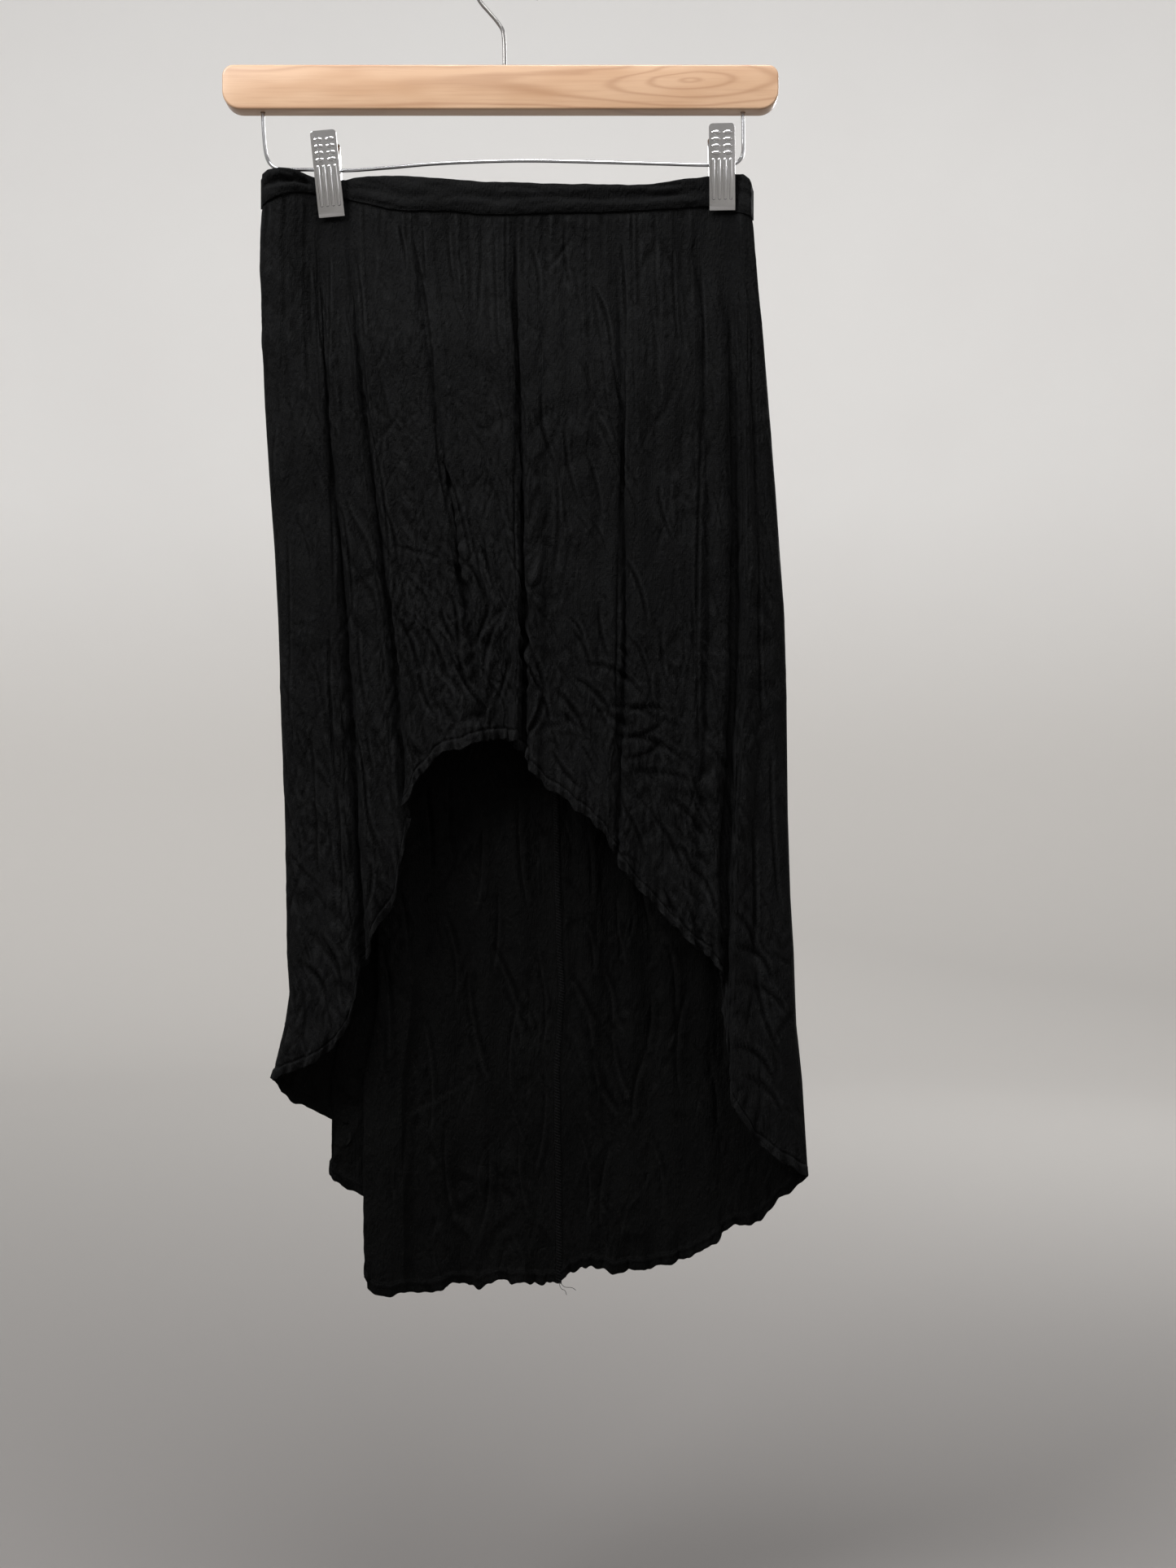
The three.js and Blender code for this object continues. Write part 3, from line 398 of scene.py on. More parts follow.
def capsule(centre, half_width, half_length, raised):
    """A long rounded rib along Y, or an oval across X where half_length is nought."""
    bpy.ops.mesh.primitive_uv_sphere_add(segments=20, ring_count=12, radius=MM, location=(0, 0, 0))
    body = bpy.context.object
    for vert in body.data.vertices:
        place = vert.co / MM
        stretch = math.copysign(half_length, place.y) if abs(place.y) > 0.01 else 0
        x = centre[0] + place.x * half_width[0]
        y = centre[1] + place.y * half_width[1] + stretch
        vert.co = Vector((x, y, centre[2] + place.z * raised)) * MM
    return body


def join(pieces):
    take(*pieces)
    bpy.ops.object.join()
    return bpy.context.object


def pressed_ear(x, wire_up, wire_out):
    """An ear that stands back from the plate, with the eye that the wire runs through."""
    far = wire_out - EAR_PAST_WIRE
    ear = start_box((x, wire_up, (far + EAR_ROOT) / 2), (EAR_GAUGE, 2 * EAR_HALF, EAR_ROOT - far))
    bpy.ops.object.mode_set(mode="EDIT")
    round_edges(EAR_PAST_WIRE, 6, lambda middle, way: abs(way.x) > 0.9 and middle.z < far * 0.6 * MM)
    bpy.ops.object.mode_set(mode="OBJECT")
    drill(ear, (x, wire_up, wire_out), 4, WIRE_RADIUS + EYE_PLAY, across=True)
    return ear


def pressed_pattern():
    """Two columns of four raised ovals at the top of a plate, and four ribs below them."""
    raised = []
    for row in range(4):
        for x in (-OVAL_APART / 2, OVAL_APART / 2):
            up = PLATE_LENGTH - OVAL_FROM_TOP - row * OVAL_PITCH
            raised.append(capsule((x, up, PLATE_GAUGE), (OVAL_LONG / 2, OVAL_HIGH / 2), 0, OVAL_RAISE))
    middle, half = (RIB_LOW + RIB_HIGH) / 2, (RIB_HIGH - RIB_LOW - RIB_WIDTH) / 2
    for column in (-1.5, -0.5, 0.5, 1.5):
        x = column * RIB_PITCH
        raised.append(capsule((x, middle, PLATE_GAUGE), (RIB_WIDTH / 2, RIB_WIDTH / 2), half, RIB_RAISE))
    return raised


def pressed_clip_plate(wire_up, wire_out):
    """One plate, lying flat: Y runs up the plate and Z away from the cloth."""
    low = PLATE_LIP - 1
    size = (PLATE_WIDTH, PLATE_LENGTH - low, PLATE_GAUGE)
    plate = start_box((0, (low + PLATE_LENGTH) / 2, PLATE_GAUGE / 2), size)
    bpy.ops.object.mode_set(mode="EDIT")
    round_edges(PLATE_CORNER, 6, lambda middle, way: abs(way.z) > 0.9 and middle.y > 0.05)
    bpy.ops.mesh.select_mode(type="FACE")
    bpy.ops.mesh.select_all(action="DESELECT")
    shape = bmesh.from_edit_mesh(plate.data)
    for face in shape.faces:
        face.select_set(face.normal.y < -0.9)
    bmesh.update_edit_mesh(plate.data)
    for down, inward in LIP_BENDS:
        bpy.ops.mesh.extrude_region_move(TRANSFORM_OT_translate={"value": (0, -down * MM, -inward * MM)})
    bpy.ops.object.mode_set(mode="OBJECT")
    ear_x = PLATE_WIDTH / 2 - EAR_GAUGE / 2 - EAR_INSET
    plate = join([plate] + [pressed_ear(x, wire_up, wire_out) for x in (-ear_x, ear_x)])
    soften(plate, PLATE_EASED)
    return join([plate] + pressed_pattern())


def stand_plate(flat_plate, clip, side, tilt, slope):
    """A copy of the flat plate, leant against the band: in front where side is -1."""
    plate = flat_plate.copy()
    plate.data = flat_plate.data.copy()
    bpy.context.collection.objects.link(plate)
    up, out = Vector((-math.sin(tilt), 0, math.cos(tilt))), Vector((0, side, 0))
    across = Vector((-side * math.cos(tilt), 0, -side * math.sin(tilt)))
    along = up * math.cos(slope) + out * math.sin(slope)
    away = out * math.cos(slope) - up * math.sin(slope)
    stand = Matrix((across, along, away)).transposed().to_4x4()
    stand.translation = Vector((clip["jaw"][0], side * PLATE_JAW, clip["jaw"][1])) * MM
    # The ears of the back plate sit inside those of the front plate.
    inset = Matrix.Diagonal((BACK_EARS_IN if side > 0 else 1, 1, 1, 1))
    plate.data.transform(stand @ inset)
    smooth(plate, 38)
    return plate


def wire_height(x):
    """Height of the level run of the clip wire."""
    run = WIRE_PATH[LEVEL_RUN]
    return float(np.interp(x, [point[0] for point in run], [point[1] for point in run]))


def spring_path(clip, tilt, slope):
    """A foot on the front plate, the turns round the wire and a foot on the back plate."""
    coil = []
    for step in range(SPRING_TURNS * TURN_STEPS + 1):
        turn = 2 * math.pi * step / TURN_STEPS
        x = clip["wire"][0] + SPRING_LENGTH * (step / (SPRING_TURNS * TURN_STEPS) - 0.5)
        coil.append((x, -SPRING_RADIUS * math.cos(turn), wire_height(x) + SPRING_RADIUS * math.sin(turn)))
    reach = PLATE_JAW + (SPRING_FOOT - 1) * math.tan(slope) - SPRING_INSIDE
    lean, foot = -math.tan(tilt) * SPRING_LEAN, clip["jaw"][1] + SPRING_FOOT
    return [(coil[0][0] + lean, -reach, foot)] + coil + [(coil[-1][0] + lean, reach, foot)]


pressed_plate = steel("pressed_chrome", colour(214, 214, 215), 0.06, 0.05)
spring_steel = steel("spring_steel", colour(128, 128, 130), 0.25, 0.12)
for clip in CLIPS:
    tilt, slope = math.radians(clip["tilt"]), math.radians(PLATE_SLOPE)
    # Where the wire passes, up the leaning plate from its jaw and out from its face.
    up = Vector((-math.sin(tilt), 0, math.cos(tilt)))
    rise = (clip["wire"][0] - clip["jaw"][0]) * up.x + (clip["wire"][1] - clip["jaw"][1]) * up.z
    wire_up = rise * math.cos(slope) - PLATE_JAW * math.sin(slope)
    wire_out = -PLATE_JAW * math.cos(slope) - rise * math.sin(slope)
    flat_plate = pressed_clip_plate(wire_up, wire_out)
    for side, part in ((-1, "front"), (1, "back")):
        plate = stand_plate(flat_plate, clip, side, tilt, slope)
        name = f"clip_{clip['name']}_{part}"
        finish_piece(plate, f"{name}_plate", pressed_plate, "chrome_plate", name)
    bpy.data.objects.remove(flat_plate)
    name = f"clip_{clip['name']}_spring"
    spring = bent_wire(f"{name}_wire", spring_path(clip, tilt, slope), SPRING_WIRE, 3)
    finish_piece(spring, f"{name}_wire", spring_steel, "dark_steel", name)


# Waistband. A strip of the jersey folded double, sewn to the gathered top of the skirt with
# the seam turned up inside. It is unstretched and crumpled between the clips.

def table(columns, rows):
    """The columns of a table by name."""
    return dict(zip(columns.split(), np.array(rows, float).T))


# Along the band: its upper and lower edge, how far each half stands out, and how deep the
# crease is that runs along its middle.
BAND = table(
    "x top low front back crease",
    (
        (-157, -144.5, -163.5, 0, 0, 0),
        (-155.5, -142.6, -162.8, 4.2, 4, 0.5),
        (-151, -140.8, -160.4, 8, 7.6, 2),
        (-143.5, -139.9, -157.4, 9.6, 9, 3),
        (-134.5, -140.2, -154.6, 7, 6.6, 2.4),
        (-126.5, -142.4, -153.4, 2, 2, 0.3),
        (-121.3, -143.9, -153.7, 1.25, 1.25, 0),
        (-112, -145, -155.2, 1.25, 1.25, 0),
        (-102.6, -145.3, -157.3, 1.25, 1.25, 0),
        (-97.6, -144.4, -158.9, 2.6, 2.4, 0.4),
        (-87.8, -144, -161.7, 5, 4.6, 1),
        (-75, -144.1, -165.2, 6.2, 6, 0.8),
        (-62, -144.4, -166.5, 6.8, 6.8, 0.9),
        (-36, -146.5, -166.7, 7.4, 7.4, 0.5),
        (-17, -148, -168.9, 7, 7.6, 1.1),
        (5, -148.8, -169.1, 7.8, 7.8, 1.2),
        (32, -149.5, -167.8, 7.4, 7.6, 0.8),
        (58, -149.8, -167.6, 7.2, 7.2, 1.5),
        (81, -149.9, -166.5, 6.6, 6.6, 1.8),
        (93, -149.3, -165.6, 6, 6.2, 1.7),
        (105, -146.8, -164.6, 5.2, 5.2, 1.4),
        (116, -144.9, -163.3, 3.6, 3.6, 0.8),
        (127, -142.8, -162, 1.25, 1.25, 0),
        (135, -141.9, -163.4, 1.25, 1.25, 0),
        (145.2, -141.4, -165.6, 1.25, 1.25, 0),
        (149.5, -142.3, -167.4, 4.6, 4.2, 1),
        (153.3, -145.4, -169, 4.8, 4.4, 1.4),
        (155.7, -149.5, -170, 3, 2.8, 0.8),
        (156.6, -152, -170.4, 0, 0, 0),
    ),
)
BAND_WALL, BAND_GAP = 1.8, 0.12
BAND_COLUMNS, BAND_AROUND = 640, 40


def between(a, b, x):
    """0 at a, 1 at b, smooth in between and level outside."""
    t = np.clip((x - a) / (b - a), 0, 1)
    return t * t * (3 - 2 * t)


def flat_noise(x, y, seed):
    """Smooth noise from -1 to 1 over a plane; its cells are 1 wide. y may be one number."""
    turn = np.random.default_rng(seed).uniform(0, 2 * math.pi, (128, 128))
    x0, y0 = np.floor(x), np.floor(y)
    fx, fy = x - x0, y - y0
    ux, uy = fx * fx * fx * (fx * (6 * fx - 15) + 10), fy * fy * fy * (fy * (6 * fy - 15) + 10)

    def corner(i, j):
        angle = turn[(x0 + i).astype(int) % 128, (y0 + j).astype(int) % 128]
        return np.cos(angle) * (fx - i) + np.sin(angle) * (fy - j)

    top = corner(0, 0) * (1 - ux) + corner(1, 0) * ux
    low = corner(0, 1) * (1 - ux) + corner(1, 1) * ux
    return 1.5 * (top * (1 - uy) + low * uy)


def facing(points):
    """Unit normals of a grid of points, columns by rows; they point to -Y on the front."""
    across = np.gradient(points, axis=0)
    down = np.gradient(points, axis=1)
    normal = np.cross(down, across)
    return normal / np.maximum(np.linalg.norm(normal, axis=2, keepdims=True), 1e-9)


def strokes(x, z, rows, depth_scale=1.0):
    """Depth of creases: each row runs from one place to another, bows aside by `bow`, and is a
    soft trough with a raised lip beside it, or a ridge where its depth is below nought."""
    height = np.zeros_like(x)
    for x0, z0, x1, z1, bow, width, depth in rows:
        width = 0.82 * width
        reach = 3.2 * width + abs(bow)
        near = (
            (x > min(x0, x1) - reach) & (x < max(x0, x1) + reach)
            & (z > min(z0, z1) - reach) & (z < max(z0, z1) + reach)
        )
        if not near.any():
            continue
        dx, dz = x1 - x0, z1 - z0
        length = math.hypot(dx, dz)
        px, pz = x[near] - x0, z[near] - z0
        t = (px * dx + pz * dz) / length**2
        side = (pz * dx - px * dz) / length
        t_in = np.clip(t, 0, 1)
        side = side - bow * 4 * t_in * (1 - t_in)
        taper = np.sin(math.pi * t_in) ** 0.7 * np.exp(-(((t - t_in) * length / width) ** 2))
        trough = np.exp(-((np.abs(side) / width) ** 1.5))
        lip = np.exp(-(((side - 1.7 * width) / (1.1 * width)) ** 2))
        height[near] += depth_scale * depth * taper * (trough - 0.32 * lip)
    return height


def strewn(seed, zones):
    """Rows for `strokes`, strewn by chance over zones: fans of creases that part from one place."""
    chance = np.random.default_rng(seed)
    rows = []
    for x0, x1, z0, z1, fans, fan, lean, spread, length, width, depth in zones:
        for _ in range(fans):
            x, z = chance.uniform(x0, x1), chance.uniform(z1, z0)
            way = lean + spread * chance.normal()
            for _ in range(fan):
                turn = math.radians(way + 15 * chance.normal())
                reach = length * math.exp(0.45 * chance.normal())
                start_x, start_z = x + 2.5 * chance.normal(), z + 7 * chance.normal()
                end_x, end_z = start_x + reach * math.sin(turn), start_z - reach * math.cos(turn)
                bow = 0.07 * reach * chance.normal()
                wide = width * math.exp(0.25 * chance.normal())
                rows.append((start_x, start_z, end_x, end_z, bow, wide, depth * chance.uniform(-0.55, 1.0)))
    return rows


def facets(a, b, cell, lean, seed, stretch=3.0):
    """Crumpled cloth: rounded facets, 0 to 1, that meet in sharp creases. The creases are
    `cell` apart and lean from the vertical by `lean` degrees."""
    turn = math.radians(lean)
    across = (a * math.cos(turn) + b * math.sin(turn)) / cell
    along = (b * math.cos(turn) - a * math.sin(turn)) / (cell * stretch)
    bend = 0.4 * flat_noise(a / (cell * 2.3), b / (cell * 3.1), seed + 1)
    return np.abs(flat_noise(across + bend, along + bend, seed)) * 1.5


def crumpled(a, b, cell, seed, stretch=3.0):
    """Two leaning sets of creases that cross in narrow diamonds, here strong and there faint."""
    first = facets(a, b, cell, 15, seed, stretch)
    second = facets(a, b, cell * 1.15, -21, seed + 3, stretch)
    strong = 0.3 + 0.9 * np.abs(flat_noise(a / (cell * 4), b / (cell * 6), seed + 6))
    return (np.minimum(first, second) - 0.3) * strong


def cloth_mesh(name, points, cloth_place, wear=None):
    """A mesh of a grid of points in millimetres; cloth_place is where each lies on the flat cloth."""
    columns, rows = points.shape[:2]
    mesh = bpy.data.meshes.new(name)
    number = np.arange(columns * rows).reshape(columns, rows)
    corners = [number[:-1, :-1], number[:-1, 1:], number[1:, 1:], number[1:, :-1]]
    faces = np.stack(corners, axis=-1).reshape(-1, 4)
    mesh.vertices.add(columns * rows)
    mesh.vertices.foreach_set("co", (points * MM).reshape(-1))
    mesh.loops.add(faces.size)
    mesh.loops.foreach_set("vertex_index", faces.reshape(-1))
    mesh.polygons.add(len(faces))
    mesh.polygons.foreach_set("loop_start", np.arange(0, faces.size, 4))
    mesh.polygons.foreach_set("use_smooth", np.ones(len(faces), bool))
    mesh.update(calc_edges=True)
    flat = (cloth_place * MM).reshape(-1, 2)
    layer = mesh.uv_layers.new(name="cloth")
    layer.uv.foreach_set("vector", flat[faces.reshape(-1)].reshape(-1))
    if wear is not None:
        attribute = mesh.attributes.new("wear", "FLOAT", "POINT")
        attribute.data.foreach_set("value", wear.reshape(-1).astype(np.float32))
    piece = bpy.data.objects.new(name, mesh)
    bpy.context.collection.objects.link(piece)
    return piece


def flat_place(points):
    """Place of each point on the flat cloth, measured along the grid's own lines."""
    across = np.linalg.norm(np.diff(points, axis=0), axis=2).mean(axis=1)
    down = np.linalg.norm(np.diff(points, axis=1), axis=2)
    a = np.concatenate([[0], np.cumsum(across)])[:, None] + np.zeros(points.shape[1])[None, :]
    b = np.concatenate([np.zeros((len(points), 1)), np.cumsum(down, axis=1)], axis=1)
    return np.stack([a, b], axis=-1)


def jersey(name, deep, plain, rubbed, shine):
    """Black viscose jersey: fine ribs of knitting, soft crumples, lighter where creases rub, and painted
    shade, near black, where the cloth lies in hollows.
    """
    material, place = new_material(name, "UV")
    body = Shade(place.tree.nodes.new("ShaderNodeTexCoord").outputs["Object"])

    def knitted(way, scale, distortion):
        return place.node(
            "ShaderNodeTexWave",
            {"wave_type": "BANDS", "bands_direction": way, "wave_profile": "SIN"},
            {"Vector": place, "Scale": scale, "Distortion": distortion, "Detail": 1.0, "Detail Scale": 1.5},
        )

    ribs, loops = knitted("X", 210.0, 1.6), knitted("Y", 260.0, 1.2)
    fuzz = body.noise(2600, 3.0, 0.65)
    fine = ((body.stretched(1, 1, 0.45).noise(420, 2.0, 0.5) - 0.5) * 2).through("ABSOLUTE")
    soft = body.stretched(1, 1, 0.5).noise(95, 3.0, 0.55)
    patch = body.noise(22, 3.0, 0.55)
    # This attribute holds the real rubbing on the ridges and the painted shade in the hollows.
    wear = place.node("ShaderNodeAttribute", {"attribute_name": "wear"}, {}, 2)
    ground = (patch * 0.7 + soft * 0.5).between(0.35, 0.85).blend(deep, plain)
    worn_and_shaded = (wear.between(0.2, 1.0) * 0.2 + fuzz.between(0.55, 0.85) * 0.14).blend(ground, rubbed)
    # Painted shade: where the cloth lies below its surroundings, in creases and hollows, its colour goes
    # near black.
    worn_and_shaded = (wear.between(-0.1, -0.8) * 0.75).blend(worn_and_shaded, colour(1.5, 1.5, 1.5))
    relief = ribs * 0.1 + loops * 0.06 + fuzz * 0.12 + fine * 1.3
    place.surface(
        Base_Color=worn_and_shaded,
        Roughness=0.72 + fuzz * 0.12,
        Specular_IOR_Level=0.05 * shine,
        Sheen_Weight=0.008 * shine,
        Sheen_Roughness=0.42,
        Sheen_Tint=(0.75, 0.77, 0.8, 1),
        Normal=relief.bump(0.8, 0.0009),
    )
    return material


black_jersey = jersey("black_jersey", colour(6, 6.1, 6.5), colour(13, 13.3, 13.8), colour(33, 33.5, 34), 1.0)


def along_band(x, column):
    return np.interp(x, BAND["x"], BAND[column])


# Creases of the band as it hangs, front and back, and the tight folds beside the clips.
BAND_CREASES = (
    (-142.7, -141.7, -122.8, -149.1, 0.8, 1.6, 1.1),
    (-156.0, -149.5, -134.5, -147.0, -1.2, 1.5, 1.2),
    (-134.5, -147.3, -124.0, -148.0, 0.4, 1.2, 0.8),
    (-103.5, -155.6, -62.0, -165.0, -1.0, 1.3, 0.7),
    (-96.0, -147.0, -70.0, -153.5, 0.8, 1.6, 0.6),
    (-88.0, -158.0, -60.0, -160.5, 0.6, 1.4, 0.5),
    (-58.0, -149.6, -30.0, -151.4, -0.6, 1.6, 0.5),
    (-46.0, -160.5, -14.0, -157.5, 0.9, 1.7, 0.7),
    (-17.5, -158.2, 3.5, -161.8, -0.5, 1.4, 0.9),
    (-10.0, -152.0, 24.0, -154.2, 0.8, 1.6, 0.5),
    (6.0, -163.0, 40.0, -160.0, -0.7, 1.5, 0.6),
    (39.6, -156.3, 127.0, -156.0, 1.0, 1.6, 1.0),
    (60.0, -161.8, 96.0, -160.4, 0.6, 1.3, 0.6),
    (84.0, -152.6, 124.0, -148.8, 0.9, 1.4, 0.7),
    (146.0, -146.8, 155.0, -150.4, 0.3, 1.2, 0.9),
    (147.3, -157.2, 154.6, -162.3, 0.4, 1.2, 0.9),
)


def band_half(side, columns, around):
    """Outer face, rolled upper edge and inner face of half the band, columns by points around."""
    x = np.linspace(BAND["x"][0], BAND["x"][-1], columns)[:, None]
    turn = np.linspace(0, 2 * math.pi, around, endpoint=False)[None, :]
    out = along_band(x, "front" if side < 0 else "back")
    # Around the section: up the outer face, over the roll, down the inner face, round below.
    level = 0.5 + 0.5 * np.cos(turn)
    skin = np.sign(np.sin(turn)) * np.abs(np.sin(turn)) ** 0.35
    puff = np.minimum(1.6, out * 0.25) * np.sin(math.pi * level)
    valley = 0.5 + 0.12 * flat_noise(x / 42, 0, 54)
    dent = 1.5 * along_band(x, "crease") * np.exp(-(((level - valley) / 0.13) ** 2))
    roll = 1 + 0.25 * np.exp(-((level / 0.14) ** 2))
    top = along_band(x, "top") + 0.35 * flat_noise(x / 9, 0, 41)
    low = along_band(x, "low") + 0.45 * flat_noise(x / 7, 0, 42)
    z = top + (low - top) * level
    wall = BAND_WALL / 2 * roll * skin
    middle = np.maximum(out + puff - dent, 0) + BAND_GAP
    loose = between(0.5, 3.0, out)
    hand = strokes(x + 0 * z, z, BAND_CREASES)
    fine = 1.1 * crumpled(z * 1.4, x + 0 * z, 6.5, 51, 2.6) + 0.5 * flat_noise(x / 15, z / 6, 52)
    # The gathers of the skirt pull the lower edge into small bumps.
    fine += 0.12 * between(0.7, 0.9, level) * flat_noise(x / 4, level * 2, 53)
    outer = (skin > 0) * (0.25 + 0.75 * loose)
    y = middle + wall + 0.55 - (hand * 1.3 - fine) * outer * np.abs(skin)
    ends = between(0, 2.2, np.minimum(x - BAND["x"][0], BAND["x"][-1] - x))
    y = np.maximum(y * ends, 0.02)
    return np.stack([x + 0 * z, side * y, z], axis=-1)


def closed_piece(name, section):
    """A closed piece of the rings of section, its two ends capped."""
    ring = np.concatenate([section, section[:, :1]], axis=1)
    piece = cloth_mesh(name, ring, flat_place(ring))
    take(piece)
    bpy.ops.object.mode_set(mode="EDIT")
    bpy.ops.mesh.select_all(action="SELECT")
    bpy.ops.mesh.remove_doubles(threshold=0.000005)
    bpy.ops.mesh.select_all(action="DESELECT")
    bpy.ops.mesh.select_non_manifold()
    bpy.ops.mesh.fill_holes(sides=0)
    bpy.ops.mesh.select_all(action="SELECT")
    bpy.ops.mesh.normals_make_consistent(inside=False)
    bpy.ops.object.mode_set(mode="OBJECT")
    return piece


for side, name in ((-1, "waistband_front"), (1, "waistband_back")):
    band = closed_piece(name, band_half(side, BAND_COLUMNS, BAND_AROUND))
    finish_piece(band, f"{name}_cloth", black_jersey, "black_jersey", name)


# Skirt front. One piece of jersey, gathered into the band and cut in a high arch; its long
# folds fall from the gathers. One row of the table is one fold line.

# The left and right edge of the skirt at each height.
EDGES = table(
    "z left right",
    (
        (-140, -157, 156.4),
        (-166, -155.4, 155),
        (-185, -156.7, 156.8),
        (-207, -156.7, 158.7),
        (-237, -156.2, 162),
        (-289, -154.2, 166.2),
        (-340, -151, 170.3),
        (-382, -148, 173.2),
        (-423, -145.9, 176.2),
        (-470, -144.3, 177.5),
        (-548, -141.7, 178.4),
        (-600, -140.7, 180),
        (-636, -140.4, 182.2),
        (-662, -138.8, 183),
        (-682, -141.7, 183.8),
        (-717, -150, 187.5),
        (-755, -151, 189.8),
        (-779, -151, 191.3),
        (-860, -151, 193),
    ),
)
FOLD_COLUMNS = "top low hem waist hip thigh end"
# From left to right: x at the band and at the hem, height of the hem there, and how far the
# fold stands out, or in below nought, at each of FOLD_LEVELS.
FRONT_FOLDS = table(
    FOLD_COLUMNS,
    (
        (-157, -150, -716, 0, 0, 0, 0),
        (-154.4, -147.4, -714.6, 0, 0, 0, 0),
        (-147, -138.5, -711.4, 0.4, 1.2, 1.6, 1.4),
        (-138.7, -128, -707.6, -0.8, -2, -2, -1.8),
        (-131.5, -117, -701.6, 0.6, 2.4, 3, 2.4),
        (-126, -108.5, -693.6, 0, 0.6, 1.2, 1),
        (-123, -99.5, -680.5, 0, 2.8, 3.6, 3.4),
        (-119.5, -90.2, -644, 0, -6.5, -8.5, -9.5),
        (-113, -83.5, -622.6, 0, 3, 3.4, 3.6),
        (-108, -76.5, -611.5, 0, -1, 0.6, 0.4),
        (-104.5, -69.6, -602, 0, 2.4, 3.2, 3.8),
        (-101, -62.5, -549, -0.3, -6.4, -7.6, -8.4),
        (-94.5, -57.8, -527.5, 0.8, 3, 3.6, 3.4),
        (-85, -51.5, -521.6, -1.2, -2.6, -0.6, -0.6),
        (-77, -45, -512.6, 0.8, 2.4, 1.4, 1.6),
        (-69.5, -37.5, -509, -1, -1.4, -0.2, -0.6),
        (-64.5, -28.5, -506.4, 0.8, 2.4, 3, 2.6),
        (-59.8, -13.8, -501.8, -1.2, -5, -6.6, -4.6),
        (-52, -9.8, -501, 0.8, 2.4, 2.6, 2.2),
        (-43, -5.6, -500.6, -1.2, -2.6, -1.4, -1),
        (-33, -1, -500.6, 0.8, 2.2, 2.4, 2.4),
        (-18, 3.2, -500.9, -1.8, -2, 0.6, 0.6),
        (-5, 7, -501.6, 0.8, 3.6, 5, 5.6),
        (5.3, 10.8, -509.5, -2, -9, -11.5, -11),
        (15, 14.4, -519.8, 0.8, 3.6, 4.6, 5),
        (25, 23, -529, -1.8, -2.8, -0.4, 0.2),
        (32.5, 33, -537, 0.8, 2.2, 1.6, 1.8),
        (38.8, 42, -543.2, -1.6, -2, -0.4, -0.8),
        (46, 50, -549.4, 0.8, 2.4, 2, 2),
        (54.5, 56.6, -555.3, -1.3, -2.8, -1.4, -1),
        (62.5, 62.6, -562.4, 0.8, 2.6, 3.4, 3.6),
        (70.5, 69.2, -574.5, -1.8, -5.8, -7.4, -7),
        (80, 77.6, -588.6, 0.8, 3, 3.4, 3.4),
        (90, 87.4, -599.6, -1.3, -2.6, -0.2, -0.4),
        (99, 98, -611, 0.8, 2.2, 1.4, 1.6),
        (107, 107, -620, -0.8, -1.6, 0, -0.4),
        (114.5, 114.6, -627.4, 0.6, 2.4, 2.4, 2.4),
        (122, 121.6, -633.6, -0.3, -4.2, -4.6, -3.4),
        (131, 128.6, -638, 0, 2.8, 3.4, 3.6),
        (138.6, 135.4, -651, 0, -6.4, -8, -7.8),
        (141, 138.4, -672, 0, -6.6, -8.4, -8.2),
        (144.6, 139.8, -702, 0, -0.6, -1, -1),
        (148, 141.6, -730, 0.3, 4, 4.8, 4.6),
        (151.4, 157, -754.4, -0.3, -2, -2.8, -2.4),
        (154, 174, -767.4, 0, 1, 1.6, 1.4),
        (155.8, 185.6, -774, 0, 0, 0, 0),
        (156.4, 191, -777, 0, 0, 0, 0),
    ),
)
FOLD_LEVELS = (0, 0.28, 0.65, 1)
VALLEY_POWER = 4.5
SEAM_GAP = 0.7
BODY_POWER, BODY_FRONT, BODY_BACK = 2.6, 19, 16
HEM_HEIGHTS = (14, 12, 10.4, 9.2, 8.2, 7.3, 6.6, 5.9, 5, 3.8, 2.4, 1.1, 0.35, 0)


def edge_at(z, side):
    return np.interp(-z, -EDGES["z"], EDGES[side])


def fold_places(folds, columns):
    """Fold-line numbers at even steps across the cloth."""
    rise = sum(np.abs(np.diff(folds[name])) for name in ("hip", "thigh", "end")) / 3
    step = np.hypot(np.diff(folds["top"]), np.diff(folds["low"])) + 1.5 + 1.2 * rise
    spread = np.concatenate([[0], np.cumsum(step)])
    return np.interp(np.linspace(0, spread[-1], columns), spread, np.arange(len(spread)))


def fold_relief(folds, k, v):
    """How far the cloth at fold line k and level v stands out or in with its folds."""
    levels = np.array(FOLD_LEVELS)
    level = np.clip(np.searchsorted(levels, v, side="right") - 1, 0, len(levels) - 2)
    part = between(levels[level], levels[level + 1], v)
    heights = np.stack([folds[name] for name in ("waist", "hip", "thigh", "end")], axis=1)
    # Shallow folds are softer in the cloth than in its solid; the deep ones keep their depth.
    heights = heights * (0.3 + 0.7 * between(2.2, 6, np.abs(heights)))
    line = np.minimum(k.astype(int), len(heights) - 2)

    def relief(row):
        low_level = heights[row[:, None], level]
        return low_level + (heights[row[:, None], level + 1] - low_level) * part

    start, end = relief(line), relief(line + 1)
    t = (k - line)[:, None]
    soft = 0.5 - 0.5 * np.cos(math.pi * t)
    # A deep fold leaves its valley steeply, so that the valley stays narrow.
    from_valley = np.where(start < end, t, 1 - t)
    rise = 1 - (1 - from_valley) ** VALLEY_POWER
    steep = np.where(start < end, rise, 1 - rise)
    tight = between(2, 7, np.abs(end - start))
    return start + (end - start) * (soft + (steep - soft) * tight)


